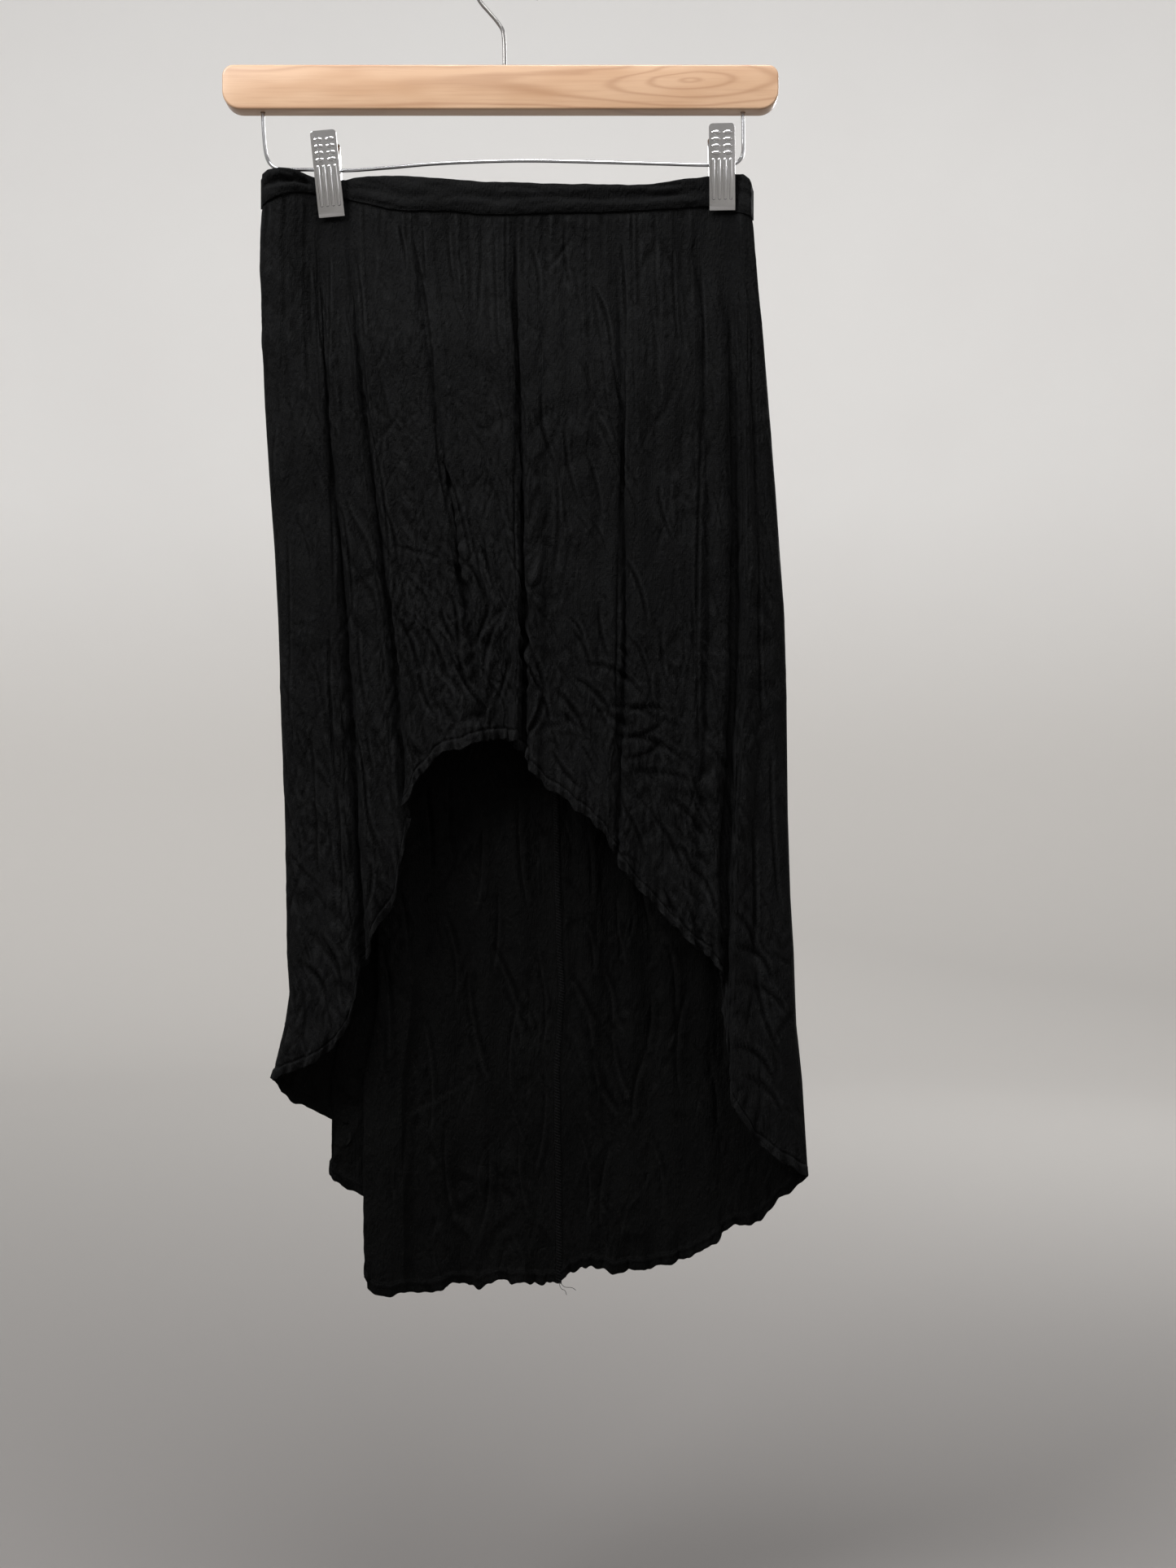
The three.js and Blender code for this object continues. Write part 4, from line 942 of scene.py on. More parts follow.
def panel(folds, side, k, rows):
    """Points of a panel with soft folds, down to the turned hem; how far each lies below the
    seam; and where each column starts at the band."""
    line = np.arange(len(folds["top"]))
    top, low, hem = (np.interp(k, line, folds[name])[:, None] for name in ("top", "low", "hem"))
    seam = along_band(top, "low") - SEAM_GAP
    length = seam - hem
    main = np.linspace(0, 1, rows)[None, :] * (1 - HEM_HEIGHTS[0] / length)
    last = 1 - np.array(HEM_HEIGHTS[1:])[None, :] / length
    v = np.concatenate([main + 0 * length, last], axis=1)

    def share(x, z):
        left, right = edge_at(z, "left"), edge_at(z, "right")
        return (x - left) / (right - left)

    z = seam + (hem - seam) * v
    s = np.clip(share(top, seam) + (share(low, hem) - share(top, seam)) * v, 0, 1)
    left, right = edge_at(z, "left"), edge_at(z, "right")
    deep = BODY_FRONT if side < 0 else BODY_BACK
    rounded = (1 - np.abs(2 * s - 1) ** BODY_POWER) ** (1 / BODY_POWER)
    at_seam = along_band(top, "front" if side < 0 else "back")
    body = at_seam + (deep * rounded - at_seam) * between(0.02, 0.3, v)
    y = np.maximum(body + fold_relief(folds, k, v) * between(0, 12, seam - z), 0)
    y[1:-1] = (y[:-2] + 2 * y[1:-1] + y[2:]) / 4
    x = left + (right - left) * s
    down = seam - z
    return np.stack([x, side * y, z + 0 * x], axis=-1), down, top


CLOSE_PITCH, WIDE_PITCH, CLOSE_HEIGHT, WIDE_HEIGHT = 5.6, 12.5, 0.3, 0.5
HELD_LEFT, HELD_RIGHT, HELD_REACH = -112, 136, 12


def gathers(top, down, seed):
    """Fine gathers below the band: close under the seam and running out as they fall."""
    phase = 2 * flat_noise(top / 21, 3, seed) + 1.4 * flat_noise(top / 8, 0, seed + 1)
    uneven = 0.55 + 0.45 * flat_noise(top / 13, 0, seed + 2)
    close = np.sin(2 * math.pi * top / CLOSE_PITCH + 2.2 * phase) * np.exp(-down / (16 + 10 * uneven))
    wide = np.sin(2 * math.pi * top / WIDE_PITCH + 3.1 * phase) * np.exp(-down / (60 + 50 * uneven))
    # The clips hold the cloth flat below them.
    left, right = (np.exp(-(((top - held) / HELD_REACH) ** 4)) for held in (HELD_LEFT, HELD_RIGHT))
    return (CLOSE_HEIGHT * uneven * close + WIDE_HEIGHT * wide) * (1 - left - right) * between(-1, 3, down)


# The main creases of the front: from x and z, to x and z, bow, width, depth.
FRONT_CREASES = (
    (-60, -182, -45, -288, 2, 1.3, 1),
    (-45, -288, -34, -371, -2, 1.3, 1.1),
    (-42, -323, -21, -397, 3, 1.5, 1),
    (-34, -371, -28, -404, 1, 1.4, 1.2),
    (-69, -174, -64, -205, 1, 1.2, 0.8),
    (-54, -173, -52, -212, 0, 1.2, 0.7),
    (-38, -174, -34, -216, -1, 1.3, 0.8),
    (-31, -189, -27, -230, 1, 1.2, 0.6),
    (-17, -173, -19, -241, 1, 1.2, 0.7),
    (-8, -179, -5, -256, -1, 1.1, 0.6),
    (5, -174, 6, -302, 0, 1.2, 1),
    (6, -302, 7, -415, -1, 1.3, 1.2),
    (15, -189, 20, -226, 2, 1.4, 0.9),
    (41, -182, 24, -205, 1, 1.4, 0.8),
    (37, -173, 40, -215, -2, 1.2, 0.7),
    (54, -214, 66, -261, 3, 1.5, 1),
    (66, -261, 72, -298, 1, 1.3, 0.8),
    (22, -281, 30, -329, -3, 1.4, 1),
    (30, -329, 29, -397, 3, 1.4, 0.9),
    (36, -302, 45, -353, -2, 1.3, 0.8),
    (50, -322, 59, -363, 2, 1.4, 0.7),
    (72, -187, 74, -252, 1, 1.2, 1),
    (74, -252, 71, -376, 1, 1.3, 1.1),
    (71, -376, 72, -527, -2, 1.3, 1.2),
    (74, -388, 88, -429, 3, 1.6, 1),
    (95, -341, 104, -376, -2, 1.4, 0.8),
    (91, -230, 94, -276, 1, 1.3, 0.6),
    (105, -189, 108, -251, -1, 1.2, 0.6),
    (122, -189, 124, -288, 1, 1.2, 1),
    (124, -288, 121, -512, -3, 1.3, 1),
    (116, -412, 117, -465, 1, 1.3, 0.9),
    (-35, -409, -30, -447, 2, 1.6, 1.4),
    (-30, -447, -16, -478, -3, 1.7, 1.6),
    (-17, -477, -14, -492, 1, 1.6, 1.4),
    (-42, -417, -32, -440, -2, 1.5, 1.2),
    (-52, -430, -38, -465, 3, 1.7, 1.3),
    (-67, -424, -55, -459, 2, 1.5, 1.2),
    (-55, -459, -45, -486, -2, 1.5, 1.2),
    (-11, -415, -23, -445, 2, 1.6, 1.3),
    (-5, -425, -14, -467, -3, 1.6, 1.3),
    (2, -445, -8, -480, 2, 1.5, 1.2),
    (-24, -389, -13, -419, 2, 1.5, 1),
    (-14, -374, -5, -412, -2, 1.4, 0.9),
    (9, -415, 16, -447, -2, 1.5, 1.3),
    (16, -447, 24, -474, 2, 1.5, 1.3),
    (24, -474, 27, -491, 0, 1.4, 1.1),
    (31, -471, 50, -503, 4, 1.8, 1.1),
    (40, -461, 66, -490, 5, 1.8, 1),
    (48, -453, 86, -474, 6, 1.7, 0.9),
    (61, -480, 97, -489, 4, 1.6, 0.9),
    (66, -499, 110, -512, 5, 1.7, 0.9),
    (76, -522, 120, -528, 4, 1.6, 0.8),
    (29, -507, 48, -531, -3, 1.6, 1),
    (9, -438, 24, -472, -3, 1.5, 2),
    (24, -472, 14, -497, 2, 1.5, 2),
    (14, -497, 15, -517, -1, 1.4, 1.6),
    (12, -445, 20, -469, -2, 1.6, -1.6),
    (20, -471, 12, -496, 2, 1.6, -1.5),
    (71, -485, 104, -483, 4, 1.4, 1.1),
    (72, -499, 101, -486, -4, 1.3, 1),
    (73, -512, 99, -499, -4, 1.3, 1),
    (40, -425, 48, -440, 2, 1.2, 0.9),
    (40, -430, 53, -462, 3, 1.6, 0.9),
    (58, -415, 64, -451, -2, 1.5, 0.9),
    (81, -440, 91, -477, 2, 1.5, 0.8),
    (97, -430, 102, -471, -2, 1.4, 0.8),
    (101, -537, 126, -568, 4, 1.7, 1),
    (91, -548, 111, -586, 3, 1.6, 1),
    (114, -578, 132, -614, 4, 1.6, 1),
    (76, -548, 87, -577, 2, 1.5, 0.9),
    (-113, -189, -112, -302, 0, 1.2, 0.9),
    (-112, -302, -109, -425, 1, 1.3, 0.9),
    (-125, -184, -124, -251, -1, 1.2, 0.6),
    (-98, -189, -90, -256, 2, 1.3, 0.9),
    (-90, -256, -82, -322, -2, 1.3, 1),
    (-82, -322, -74, -394, 2, 1.4, 1),
    (-74, -394, -66, -476, -2, 1.4, 1.1),
    (-104, -353, -97, -430, 2, 1.4, 0.9),
    (-93, -425, -87, -486, -2, 1.4, 0.9),
    (-78, -353, -68, -394, 3, 1.4, 0.9),
    (-112, -425, -108, -527, -1, 1.3, 1),
    (-108, -527, -104, -619, 1, 1.4, 1),
    (-98, -496, -89, -542, 3, 1.5, 1),
    (-89, -527, -78, -573, -3, 1.5, 1),
    (-124, -496, -120, -589, 1, 1.3, 0.8),
    (-132, -640, -113, -664, 4, 1.6, 1.1),
    (-118, -624, -104, -655, 3, 1.6, 1),
    (-139, -363, -137, -496, 0, 1.2, 0.6),
    (-85, -578, -89, -609, 2, 1.4, 1),
    (141, -205, 142, -358, 0, 1.2, 0.9),
    (142, -358, 139, -533, 1, 1.3, 1),
    (139, -533, 134, -645, -1, 1.3, 1),
    (153, -251, 158, -363, 1, 1.3, 0.8),
    (159, -363, 161, -496, -1, 1.3, 0.8),
    (155, -548, 156, -640, 1, 1.4, 0.9),
    (167, -496, 172, -609, -2, 1.4, 0.8),
    (142, -609, 156, -638, 5, 1.7, 1.1),
    (145, -629, 167, -655, 6, 1.7, 1.1),
    (150, -655, 177, -676, 6, 1.7, 1),
    (157, -640, 173, -701, -4, 1.7, 1),
    (142, -691, 168, -716, 5, 1.7, 1),
    (147, -711, 173, -736, 5, 1.6, 0.9),
)


# Relief of the cloth in millimetres: how high it stands, and how wide each of its cells is.
BROAD_HEIGHT, BROAD_CELL = 6.0, 26
SHARP_HEIGHT, SHARP_CELL = 2.7, 9
STREAK_HEIGHT, STREAK_CELL, STREAK_FALL = 1.2, 8.5, 330
SWAY_HEIGHT, STITCH_UP, STITCH_WIDTH, WEAR_AND_SHADE_GAIN = 0.9, 6.8, 0.8, 3.5
NEAR_HEM, FAR_HEM, SCALLOP_REACH = 10, 26, 12


def dressed_panel(points, down, top, side, seed, creases, crumple, seam=None):
    """Adds gathers, listed creases and crumples to a panel, along its normals. Where it
    is sewn to the next one, in column seam, it stays as it is."""
    x, y, z = points[..., 0], np.abs(points[..., 1]), points[..., 2]
    place = flat_place(points)
    a, b = place[..., 0], place[..., 1]
    rough = crumple(x, z)
    detail = gathers(top, down, seed)
    detail += side * (strokes(x, z, creases[0], 2.0) + strokes(x, z, creases[1], 1.0))
    detail += rough * between(0, 30, down) * BROAD_HEIGHT * crumpled(a, b, BROAD_CELL, seed + 10, 2.2)
    detail += rough * SHARP_HEIGHT * crumpled(a, b, SHARP_CELL, seed + 20, 2.4)
    streaky = np.clip(0.5 + 1.1 * flat_noise(a / 38, b / 120, seed + 45), 0, 1.2)
    streaks = facets(a, b, STREAK_CELL, 3, seed + 40, 9.0)
    detail += STREAK_HEIGHT * streaky * streaks * np.exp(-down / STREAK_FALL)
    detail += SWAY_HEIGHT * between(0, 60, down) * flat_noise(a / 34, b / 95, seed + 50)
    fade = between(0, 5, y)
    if seam is not None:
        fade = fade * between(0, 7, np.linalg.norm(points - points[seam], axis=2))
    detail = detail * fade * between(-1, 4, down)
    edge = down[:, -1:] - down
    pucker = 4.2 * flat_noise(a / 8, b / 60, seed + 50) + 1.4 * flat_noise(a / 3.6, b / 60, seed + 51)
    swell = 2.6 * flat_noise(a / 19, b / 90, seed + 52)
    ripple = np.exp(-edge / NEAR_HEM) * pucker + np.exp(-edge / FAR_HEM) * swell
    stitch = -0.8 * np.exp(-(((edge - STITCH_UP) / STITCH_WIDTH) ** 2)) + 0.4 * between(7.4, 5.6, edge)
    detail += ripple * fade + stitch * between(0, 1, y)
    normal = facing(points)
    moved = points + normal * detail[..., None]
    scallop = 2.9 * flat_noise(a / 13, 0, seed + 60) + 1.9 * flat_noise(a / 5.5, 0, seed + 61)
    moved[..., 2] += np.exp(-edge / SCALLOP_REACH) * scallop * (0.25 + 0.75 * fade)
    # What stands above its surroundings is rubbed pale; what lies below them is painted dark, as shade in
    # the creases and hollows.
    level = detail.copy()
    for _ in range(5):
        beside = level[:-2, 1:-1] + level[2:, 1:-1] + level[1:-1, :-2] + level[1:-1, 2:]
        level[1:-1, 1:-1] = (beside + 2 * level[1:-1, 1:-1]) / 6
    wear = np.clip((detail - level) * WEAR_AND_SHADE_GAIN, -1, 1)
    return moved, wear


def with_turned_hem(points, wear):
    """The hem turned up inside: round the edge and back up behind the cloth."""
    normal = facing(points)
    behind = ((-1, 0.55), (-2, 1.05), (-4, 1.1), (-6, 1.1), (-8, 1.0), (-9, 0.25))
    turned = np.stack([points[:, row] - normal[:, row] * gap for row, gap in behind], axis=1)
    turned[:, 0] += np.array([0, 0, -0.25])
    worn_and_shaded = np.repeat(wear[:, -1:], turned.shape[1], axis=1)
    return np.concatenate([points, turned], axis=1), np.concatenate([wear, worn_and_shaded], axis=1)


def with_tucked_top(points, wear):
    """The seam allowance at the top, turned up inside the band."""
    first = points[:, :1]
    up = np.array([0, 0, 1.0])
    tucked = np.concatenate([first + up * 3.2, first + up * 1.4], axis=1)
    unworn = np.zeros(tucked.shape[:2])
    return np.concatenate([tucked, points], axis=1), np.concatenate([unworn, wear], axis=1)


# Zones of small creases: from x, to x, from z, to z, fans, creases in each, lean from the
# vertical and its spread in degrees, length, width, depth.
FRONT_ZONES = (
    (-152, 158, -172, -330, 80, 3, 0, 6, 52, 1.1, 0.55),
    (-150, 165, -260, -480, 110, 4, -4, 12, 34, 1.15, 0.65),
    (-72, 6, -370, -498, 55, 6, 4, 24, 22, 1.2, 0.95),
    (15, 140, -430, -640, 80, 5, 32, 26, 27, 1.25, 0.75),
    (-145, -60, -470, -700, 60, 5, 8, 17, 30, 1.25, 0.75),
    (140, 185, -560, -765, 26, 5, -32, 24, 26, 1.2, 0.7),
)


def front_crumple(x, z):
    """How crumpled the front is: most over its lower middle and near the hem at both sides."""
    middle = np.exp(-(((x + 25) / 45) ** 2) - (((z + 440) / 80) ** 2))
    right = np.exp(-(((x - 95) / 60) ** 2) - (((z + 560) / 110) ** 2))
    left = np.exp(-(((x + 120) / 40) ** 2) - (((z + 600) / 130) ** 2))
    upper = np.exp(-(((x + 20) / 110) ** 2) - (((z + 260) / 90) ** 2))
    return 0.36 + 1.15 * middle + 0.7 * right + 0.45 * left + 0.25 * upper


def panel_piece(name, folds, side, columns, rows, seed, creases, crumple, seam=None):
    """One piece of the skirt, in front where side is -1 and behind where it is 1."""
    points, down, top = panel(folds, side, fold_places(folds, columns), rows)
    if side > 0:
        points, down, top = points[::-1], down[::-1], top[::-1]
    points, wear = dressed_panel(points, down, top, side, seed, creases, crumple, seam)
    points, wear = with_turned_hem(points, wear)
    points, wear = with_tucked_top(points, wear)
    return cloth_mesh(name, points, flat_place(points), wear)


front_creases = (FRONT_CREASES, strewn(7, FRONT_ZONES))
front = panel_piece(
    "skirt_front_cloth", FRONT_FOLDS, -1, columns=470, rows=190, seed=100,
    creases=front_creases, crumple=front_crumple,
)
finish_piece(front, "skirt_front_cloth", black_jersey, "black_jersey", "skirt_front")


# Skirt back. Two pieces of jersey joined down the centre, gathered like the front and cut
# long; the left one has slipped into two laps low down, and its inside shows under the arch.

BACK_LEFT_FOLDS = table(
    FOLD_COLUMNS,
    (
        (-157, -150.4, -716, 0, 0, 0, 0),
        (-154.4, -147, -722, 0, 0, 0, 0),
        (-148, -139.4, -731.6, 0.3, 0.6, 1, 1),
        (-141, -124, -739, 0.3, 1.6, 2.2, 2.8),
        (-135, -102, -749, 0, 2, 2.9, 3.6),
        (-132.5, -100, -754, 0, 1.2, 1.7, 2.2),
        (-130, -102, -760, 0, 0.3, 0.5, 0.8),
        (-126.5, -111.8, -772, 0, -1.3, 0, 0.4),
        (-124, -113.8, -778, 0, -2.2, -1.2, -1),
        (-121.5, -112, -785, 0, -3, -2.4, -2.4),
        (-116, -99, -790.4, 0, -3.1, -2.7, -2.8),
        (-110, -76, -800, 0, -2.9, -2.4, -2.4),
        (-107.5, -74, -804, 0, -3.7, -3.6, -3.8),
        (-105, -76, -810, 0, -4.5, -4.8, -5.2),
        (-101.5, -90.4, -838, 0, -6.2, -5.2, -5.6),
        (-99, -92.6, -848, 0, -7, -6.4, -7),
        (-96.5, -90.8, -853, 0, -7.8, -7.6, -8.4),
        (-91.5, -81, -856, 0, -7, -7.8, -8.6),
        (-85, -66, -855, -0.4, -4.2, -6, -7.2),
        (-77, -51, -857, 0.4, 0.6, -1.6, -3),
        (-67, -41, -852.6, -0.8, -2.8, -2.4, -4.4),
        (-57, -27, -852, 0.6, 3.6, 2.8, 1),
        (-45, -13, -850.4, -0.8, -3.2, -1.8, -2.2),
        (-32, -1, -850, 0.6, 4, 3.2, 2.4),
        (-18, 10, -850, -0.8, -3.6, -2.4, -1),
        (-3, 22, -851.6, 0.6, 3.2, 2.4, 1.6),
        (14, 32.4, -851, 0, 0, 0, 0),
    ),
)
BACK_RIGHT_FOLDS = table(
    FOLD_COLUMNS,
    (
        (14, 32.4, -851, 0, 0, 0, 0),
        (27, 40, -843.6, 0.6, 3.2, 3.1, 2.1),
        (40, 51, -840.8, -0.8, -3.6, -2.7, -2.4),
        (52, 64, -843, 0.6, 3.2, 3.4, 2.7),
        (64, 78, -842.6, -0.8, -3.2, -3.4, -3),
        (76, 92, -842, 0.6, 3.6, 3.4, 2.1),
        (88, 105, -838, -0.8, -2.8, -2.4, -2.4),
        (99, 117, -833.4, 0.6, 3.2, 2.7, 2.4),
        (110, 129, -826.6, -0.6, -2.8, -3.1, -2.7),
        (120, 139, -816.4, 0.3, 2.4, 2.4, 2.1),
        (130, 150, -814, 0, -2, -2, -1.8),
        (139, 163, -807.4, 0, 2, 2, 1.5),
        (147, 175, -795.4, 0.2, 0.8, 1, 0.6),
        (154, 187, -784, 0, 0, 0, 0),
        (156.4, 191.6, -777, 0, 0, 0, 0),
    ),
)

# The main creases of the back as they show inside, in the same columns.
BACK_CREASES = (
    (-55, -527, -51, -590, 2, 2.2, 1),
    (-38, -522, -36, -579, -2, 2, 0.8),
    (-18, -543, -21, -611, 3, 2.2, 0.9),
    (8, -527, 13, -611, -3, 2.2, 0.9),
    (-7, -590, -10, -653, 2, 2, 0.9),
    (-42, -611, -34, -668, 4, 2.2, 1.1),
    (-26, -642, -13, -721, -4, 2.4, 1.2),
    (-13, -632, 8, -700, 5, 2.4, 1.1),
    (8, -663, 2, -731, -4, 2.2, 1),
    (18, -632, 23, -700, 3, 2.2, 0.9),
    (39, -653, 54, -700, 4, 2.4, 1.3),
    (54, -700, 71, -743, -4, 2.6, 1.3),
    (60, -647, 67, -685, 3, 2.4, 1.2),
    (67, -685, 77, -732, -3, 2.4, 1.2),
    (92, -663, 88, -705, 2, 2.2, 1.1),
    (88, -705, 81, -749, -3, 2.4, 1.1),
    (48, -616, 55, -653, 3, 2.2, 1),
    (71, -595, 76, -647, -3, 2.2, 0.9),
    (102, -627, 107, -684, 3, 2.2, 0.9),
    (115, -663, 111, -731, -4, 2.3, 0.9),
    (128, -700, 134, -757, 3, 2.2, 0.8),
    (-55, -679, -50, -757, 3, 2.3, 1),
    (-40, -747, -34, -810, -3, 2.3, 1),
    (-65, -721, -70, -794, 3, 2.3, 1),
    (-13, -757, -18, -820, 3, 2.2, 0.9),
    (8, -747, 14, -810, -4, 2.2, 0.9),
    (23, -705, 18, -778, 3, 2, 0.8),
    (45, -752, 51, -810, 4, 2.2, 0.9),
    (66, -763, 60, -820, -3, 2.2, 0.8),
    (92, -757, 98, -810, 4, 2.2, 0.8),
    (-81, -632, -76, -705, 2, 2.2, 0.9),
    (-72, -595, -65, -642, 3, 2, 0.8),
    (50, -553, 53, -611, 2, 2, 0.8),
    (87, -579, 92, -621, -2, 2, 0.8),
)


BACK_ZONES = (
    (-150, 155, -175, -330, 70, 3, 0, 6, 55, 1.4, 0.5),
    (-150, 185, -300, -560, 90, 4, 0, 12, 38, 1.5, 0.6),
    (-95, 185, -500, -840, 110, 4, -4, 14, 34, 1.6, 0.6),
)
back_creases = (BACK_CREASES, strewn(8, BACK_ZONES))


def back_crumple(x, z):
    """How crumpled the back is: little at the seat, more in the lower half."""
    return 0.2 + 0.25 * between(-300, -700, z)


# The back and its seam ridge take a darker, duller copy of the jersey: partly the matt reverse of the cloth,
# partly painted shade of the inside of the skirt, on both faces of the sheet.
inner_jersey_shaded = jersey(
    "black_jersey_inside_shaded", colour(5, 5.1, 5.1), colour(9.2, 9.4, 9.3), colour(25, 25, 25), 0.7
)
back_left = panel_piece(
    "skirt_back_left_cloth", BACK_LEFT_FOLDS, 1, columns=360, rows=250, seed=200,
    creases=back_creases, crumple=back_crumple, seam=0,
)
finish_piece(back_left, "skirt_back_left_cloth", inner_jersey_shaded, "black_jersey", "skirt_back_left")
back_right = panel_piece(
    "skirt_back_right_cloth", BACK_RIGHT_FOLDS, 1, columns=270, rows=250, seed=300,
    creases=back_creases, crumple=back_crumple, seam=-1,
)
finish_piece(back_right, "skirt_back_right_cloth", inner_jersey_shaded, "black_jersey", "skirt_back_right")

# Centre back seam. The two raw edges of the back are overlocked together and stand inside as a
# flat ridge, bound by a zigzag of black thread; loose ends of it hang at the hem.

RIDGE_WIDTH, RIDGE_THICK, RIDGE_STAND = 3.4, 1.0, 0.7
STITCH_PITCH, THREAD_RADIUS = 1.9, 0.2
# One stitch of the zigzag: places across the ridge and proud of it, in halves of its size.
STITCH = ((-1.05, 0.1), (-0.35, 1.15), (0.35, 1.15), (1.05, 0.1))
LOOSE_ENDS, LOOSE_RADIUS = ((5, 7), (11, 4)), 0.16

seam_line = panel(BACK_LEFT_FOLDS, 1, np.array([len(BACK_LEFT_FOLDS["top"]) - 1.0]), 300)[0][0]
seam_fall = -seam_line[:, 2]
ridge_fall = np.linspace(seam_fall[0] + 1, seam_fall[-1] - 0.5, 420)


def ridge_at(fall):
    """Middle of the ridge at a depth below the origin, a little crooked as it was sewn."""
    x = np.interp(fall, seam_fall, seam_line[:, 0]) + 0.5 * flat_noise(fall / 24, 0, 71)
    y = np.interp(fall, seam_fall, seam_line[:, 1]) - RIDGE_STAND + 0.25 * flat_noise(fall / 9, 0, 72)
    return x, y


around = np.linspace(0, 2 * math.pi, 12, endpoint=False)[None, :]
ridge_x, ridge_y = (part[:, None] for part in ridge_at(ridge_fall))
swell = 1 + 0.14 * flat_noise(ridge_fall / 3, 0, 73)[:, None]
ridge_ring = np.stack(
    [
        ridge_x + RIDGE_WIDTH / 2 * swell * np.cos(around),
        ridge_y + RIDGE_THICK / 2 * swell * np.sin(around),
        -ridge_fall[:, None] + 0 * around,
    ],
    axis=-1,
)
ridge = closed_piece("centre_back_seam_ridge", ridge_ring)
finish_piece(ridge, "centre_back_seam_ridge", inner_jersey_shaded, "black_jersey", "centre_back_seam")

thread_line = []
for fall in np.arange(seam_fall[0] + 2, seam_fall[-1] - 1, STITCH_PITCH):
    for step, (aside, proud) in enumerate(STITCH):
        low = fall + step * STITCH_PITCH / 4
        x, y = ridge_at(low)
        place = (x + aside * RIDGE_WIDTH / 2, y - proud * RIDGE_THICK / 2 - THREAD_RADIUS * 0.6, -low)
        thread_line.append(tuple(float(part) for part in place))
thread = bent_wire("centre_back_seam_thread", thread_line, THREAD_RADIUS, 1, 1)
black_thread = jersey("black_thread", colour(14, 14, 14), colour(24, 24, 25), colour(44, 44, 44), 1.5)
finish_piece(thread, "centre_back_seam_thread", black_thread, "black_thread")
end_x, end_y = (float(part) for part in ridge_at(seam_fall[-1] - 2))
end_z = float(-seam_fall[-1])
for number, (out, drop) in enumerate(LOOSE_ENDS):
    loose = [
        (end_x, end_y - 0.6, end_z + 3),
        (end_x + out * 0.3, end_y - 1.2, end_z - drop * 0.4),
        (end_x + out * 0.8, end_y - 1.4, end_z - drop * 0.6),
        (end_x + out, end_y - 1.2, end_z - drop),
    ]
    tail = bent_wire(f"loose_thread_{number}", loose, LOOSE_RADIUS, 4, 1)
    finish_piece(tail, f"loose_thread_{number}", black_thread, "black_thread")


# Studio: a pale sweep that curves up all round, soft lights and the camera at the height and
# distance of the photograph.

SWEEP_FLOOR, SWEEP_FLAT, SWEEP_CURVE, SWEEP_WALL, SWEEP_SIDES = -1.12, 2.6, 1.2, 2.6, 72


def sweep_section():
    """Radius and height of the rings of the sweep, from the floor up."""
    line = [(SWEEP_FLAT * 0.5, SWEEP_FLOOR), (SWEEP_FLAT, SWEEP_FLOOR)]
    for step in range(1, 13):
        turn = math.pi / 2 * step / 12
        out, up = SWEEP_CURVE * math.sin(turn), SWEEP_CURVE * (1 - math.cos(turn))
        line.append((SWEEP_FLAT + out, SWEEP_FLOOR + up))
    line.append((SWEEP_FLAT + SWEEP_CURVE, SWEEP_FLOOR + SWEEP_CURVE + SWEEP_WALL))
    return line


sweep_mesh = bpy.data.meshes.new("sweep")
made = bmesh.new()
around = [2 * math.pi * t / SWEEP_SIDES for t in range(SWEEP_SIDES)]
rings = [
    [made.verts.new((radius * math.cos(turn), radius * math.sin(turn), height)) for turn in around]
    for radius, height in sweep_section()
]
centre = made.verts.new((0, 0, SWEEP_FLOOR))
for t in range(SWEEP_SIDES):
    after = (t + 1) % SWEEP_SIDES
    made.faces.new((centre, rings[0][t], rings[0][after]))
    for low_ring, high_ring in zip(rings, rings[1:]):
        made.faces.new((low_ring[t], high_ring[t], high_ring[after], low_ring[after]))
made.to_mesh(sweep_mesh)
made.free()
for face in sweep_mesh.polygons:
    face.use_smooth = True
sweep = bpy.data.objects.new("sweep", sweep_mesh)
bpy.context.collection.objects.link(sweep)
PALE_PER_METRE, PALE_POWER = 0.267, 1.4
paper, paper_place = new_material("pale_paper")
mottle = paper_place.noise(3.0, 3.0)
across, deep, height = paper_place.parts()
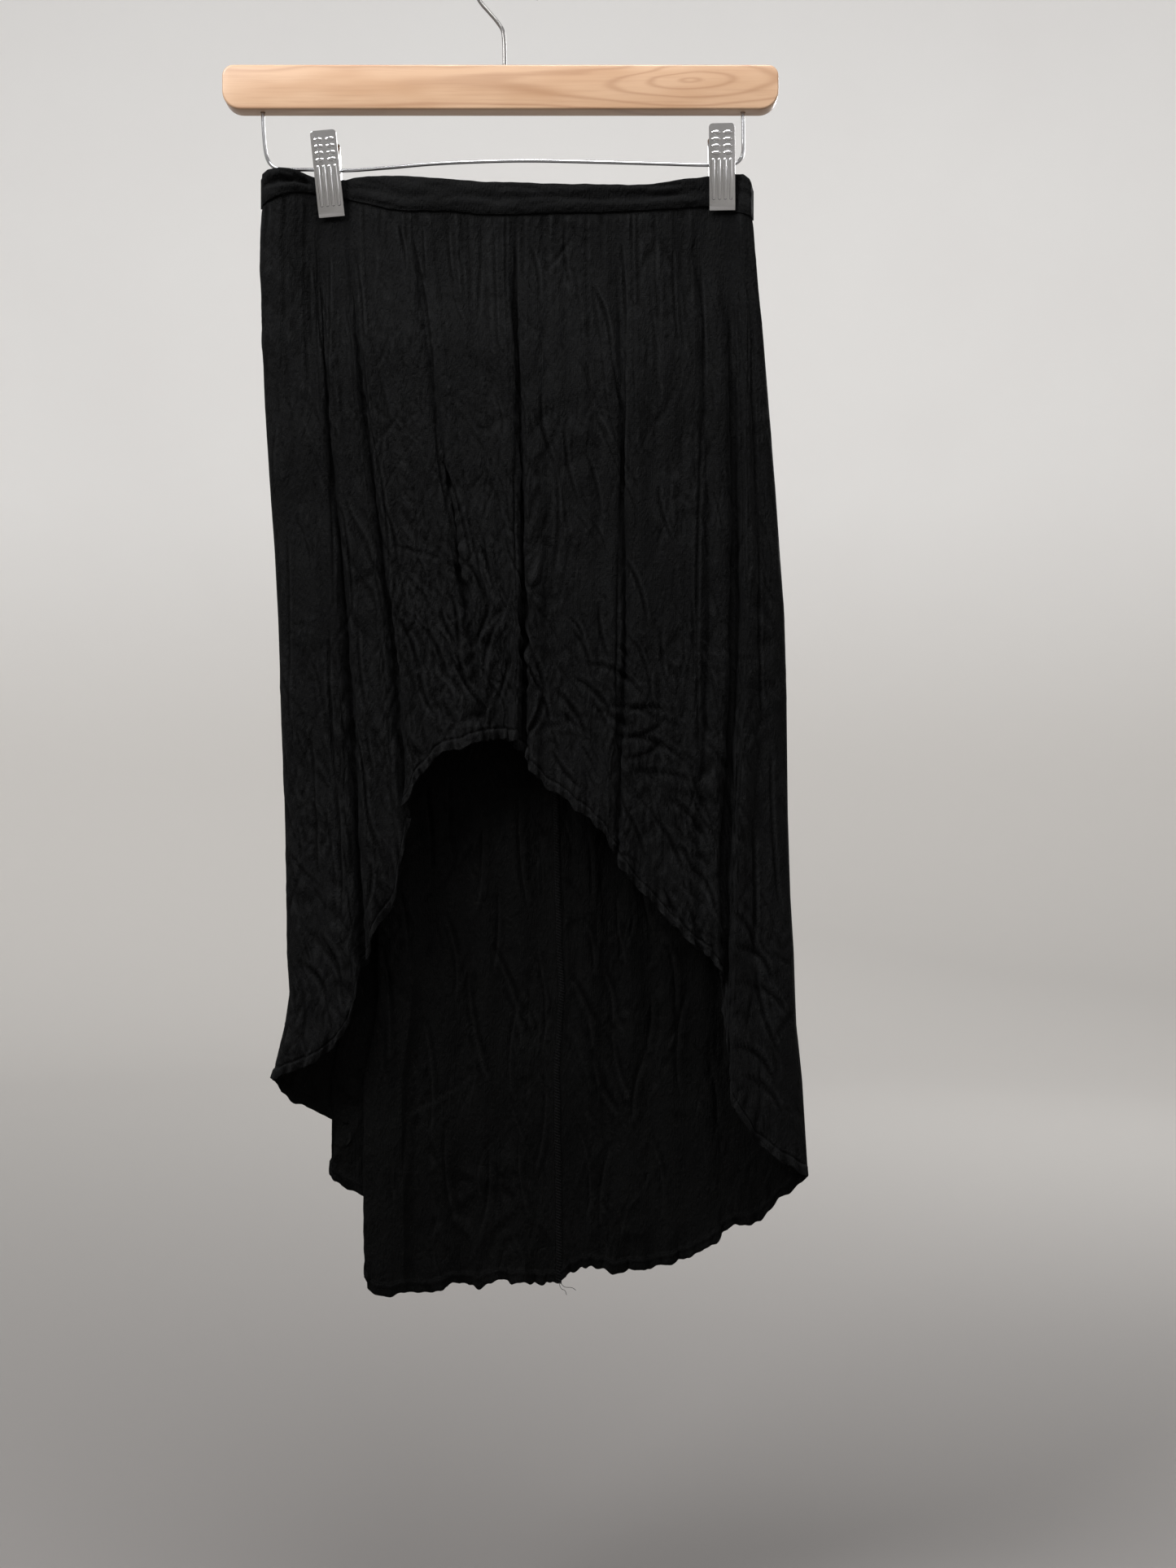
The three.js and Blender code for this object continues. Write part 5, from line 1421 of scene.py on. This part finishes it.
# Painted shade: the floor of the paper is painted darker under the skirt and paler out towards the walls,
# and the walls paler still up them.
away = (((across * across + deep * deep) ** 0.5) * PALE_PER_METRE) ** PALE_POWER
floor_with_painted_shade = away.blend(colour(112, 109, 107), colour(206, 203, 199))
upper = mottle.blend(colour(232, 231, 229), colour(228, 226, 224))
paper_place.surface(
    Base_Color=height.between(-0.55, 0.3).blend(floor_with_painted_shade, upper),
    Roughness=0.9,
    Normal=paper_place.noise(420, 2.0).bump(0.05, 0.0005),
)
sweep_mesh.materials.append(paper)


def soft_light(name, place, target, size, power):
    """A square or long lamp at place that faces target; power in watts."""
    light = bpy.data.lights.new(name, "AREA")
    light.shape = "RECTANGLE"
    light.size, light.size_y = size
    light.energy = power
    lamp = bpy.data.objects.new(name, light)
    lamp.location = place
    lamp.rotation_euler = (Vector(target) - Vector(place)).to_track_quat("-Z", "Y").to_euler()
    bpy.context.collection.objects.link(lamp)


soft_light("key", (-1.15, -1.15, 1.0), (0, 0, -0.3), (0.8, 0.8), 49)
soft_light("fill", (1.7, -1.5, 0.6), (0, 0, -0.3), (1.2, 1.2), 5)
soft_light("above", (0.15, -0.65, 1.15), (0, 0, -0.25), (0.8, 0.8), 24)
soft_light("wall", (0, 1.3, 1.3), (0, 3.8, 0.7), (2.6, 0.5), 24)
soft_light("behind", (1.2, 2.0, 0.7), (0, 0, -0.4), (0.9, 0.9), 34)

world = bpy.data.worlds.new("studio")
world.use_nodes = True
world.node_tree.nodes["Background"].inputs["Color"].default_value = (0.86, 0.86, 0.88, 1)
world.node_tree.nodes["Background"].inputs["Strength"].default_value = 0.42
bpy.context.scene.world = world
bpy.context.scene.view_settings.view_transform = "Standard"

CAMERA_PLACE = (0.0512, -1.16, -0.5289)
FRAME_HEIGHT = 0.998
SENSOR_HEIGHT = 36
camera_data = bpy.data.cameras.new("camera")
camera_data.sensor_width = SENSOR_HEIGHT
camera_data.lens = SENSOR_HEIGHT * -CAMERA_PLACE[1] / FRAME_HEIGHT
camera = bpy.data.objects.new("camera", camera_data)
camera.location = CAMERA_PLACE
camera.rotation_euler = (math.pi / 2, 0, 0)
bpy.context.collection.objects.link(camera)
bpy.context.scene.camera = camera
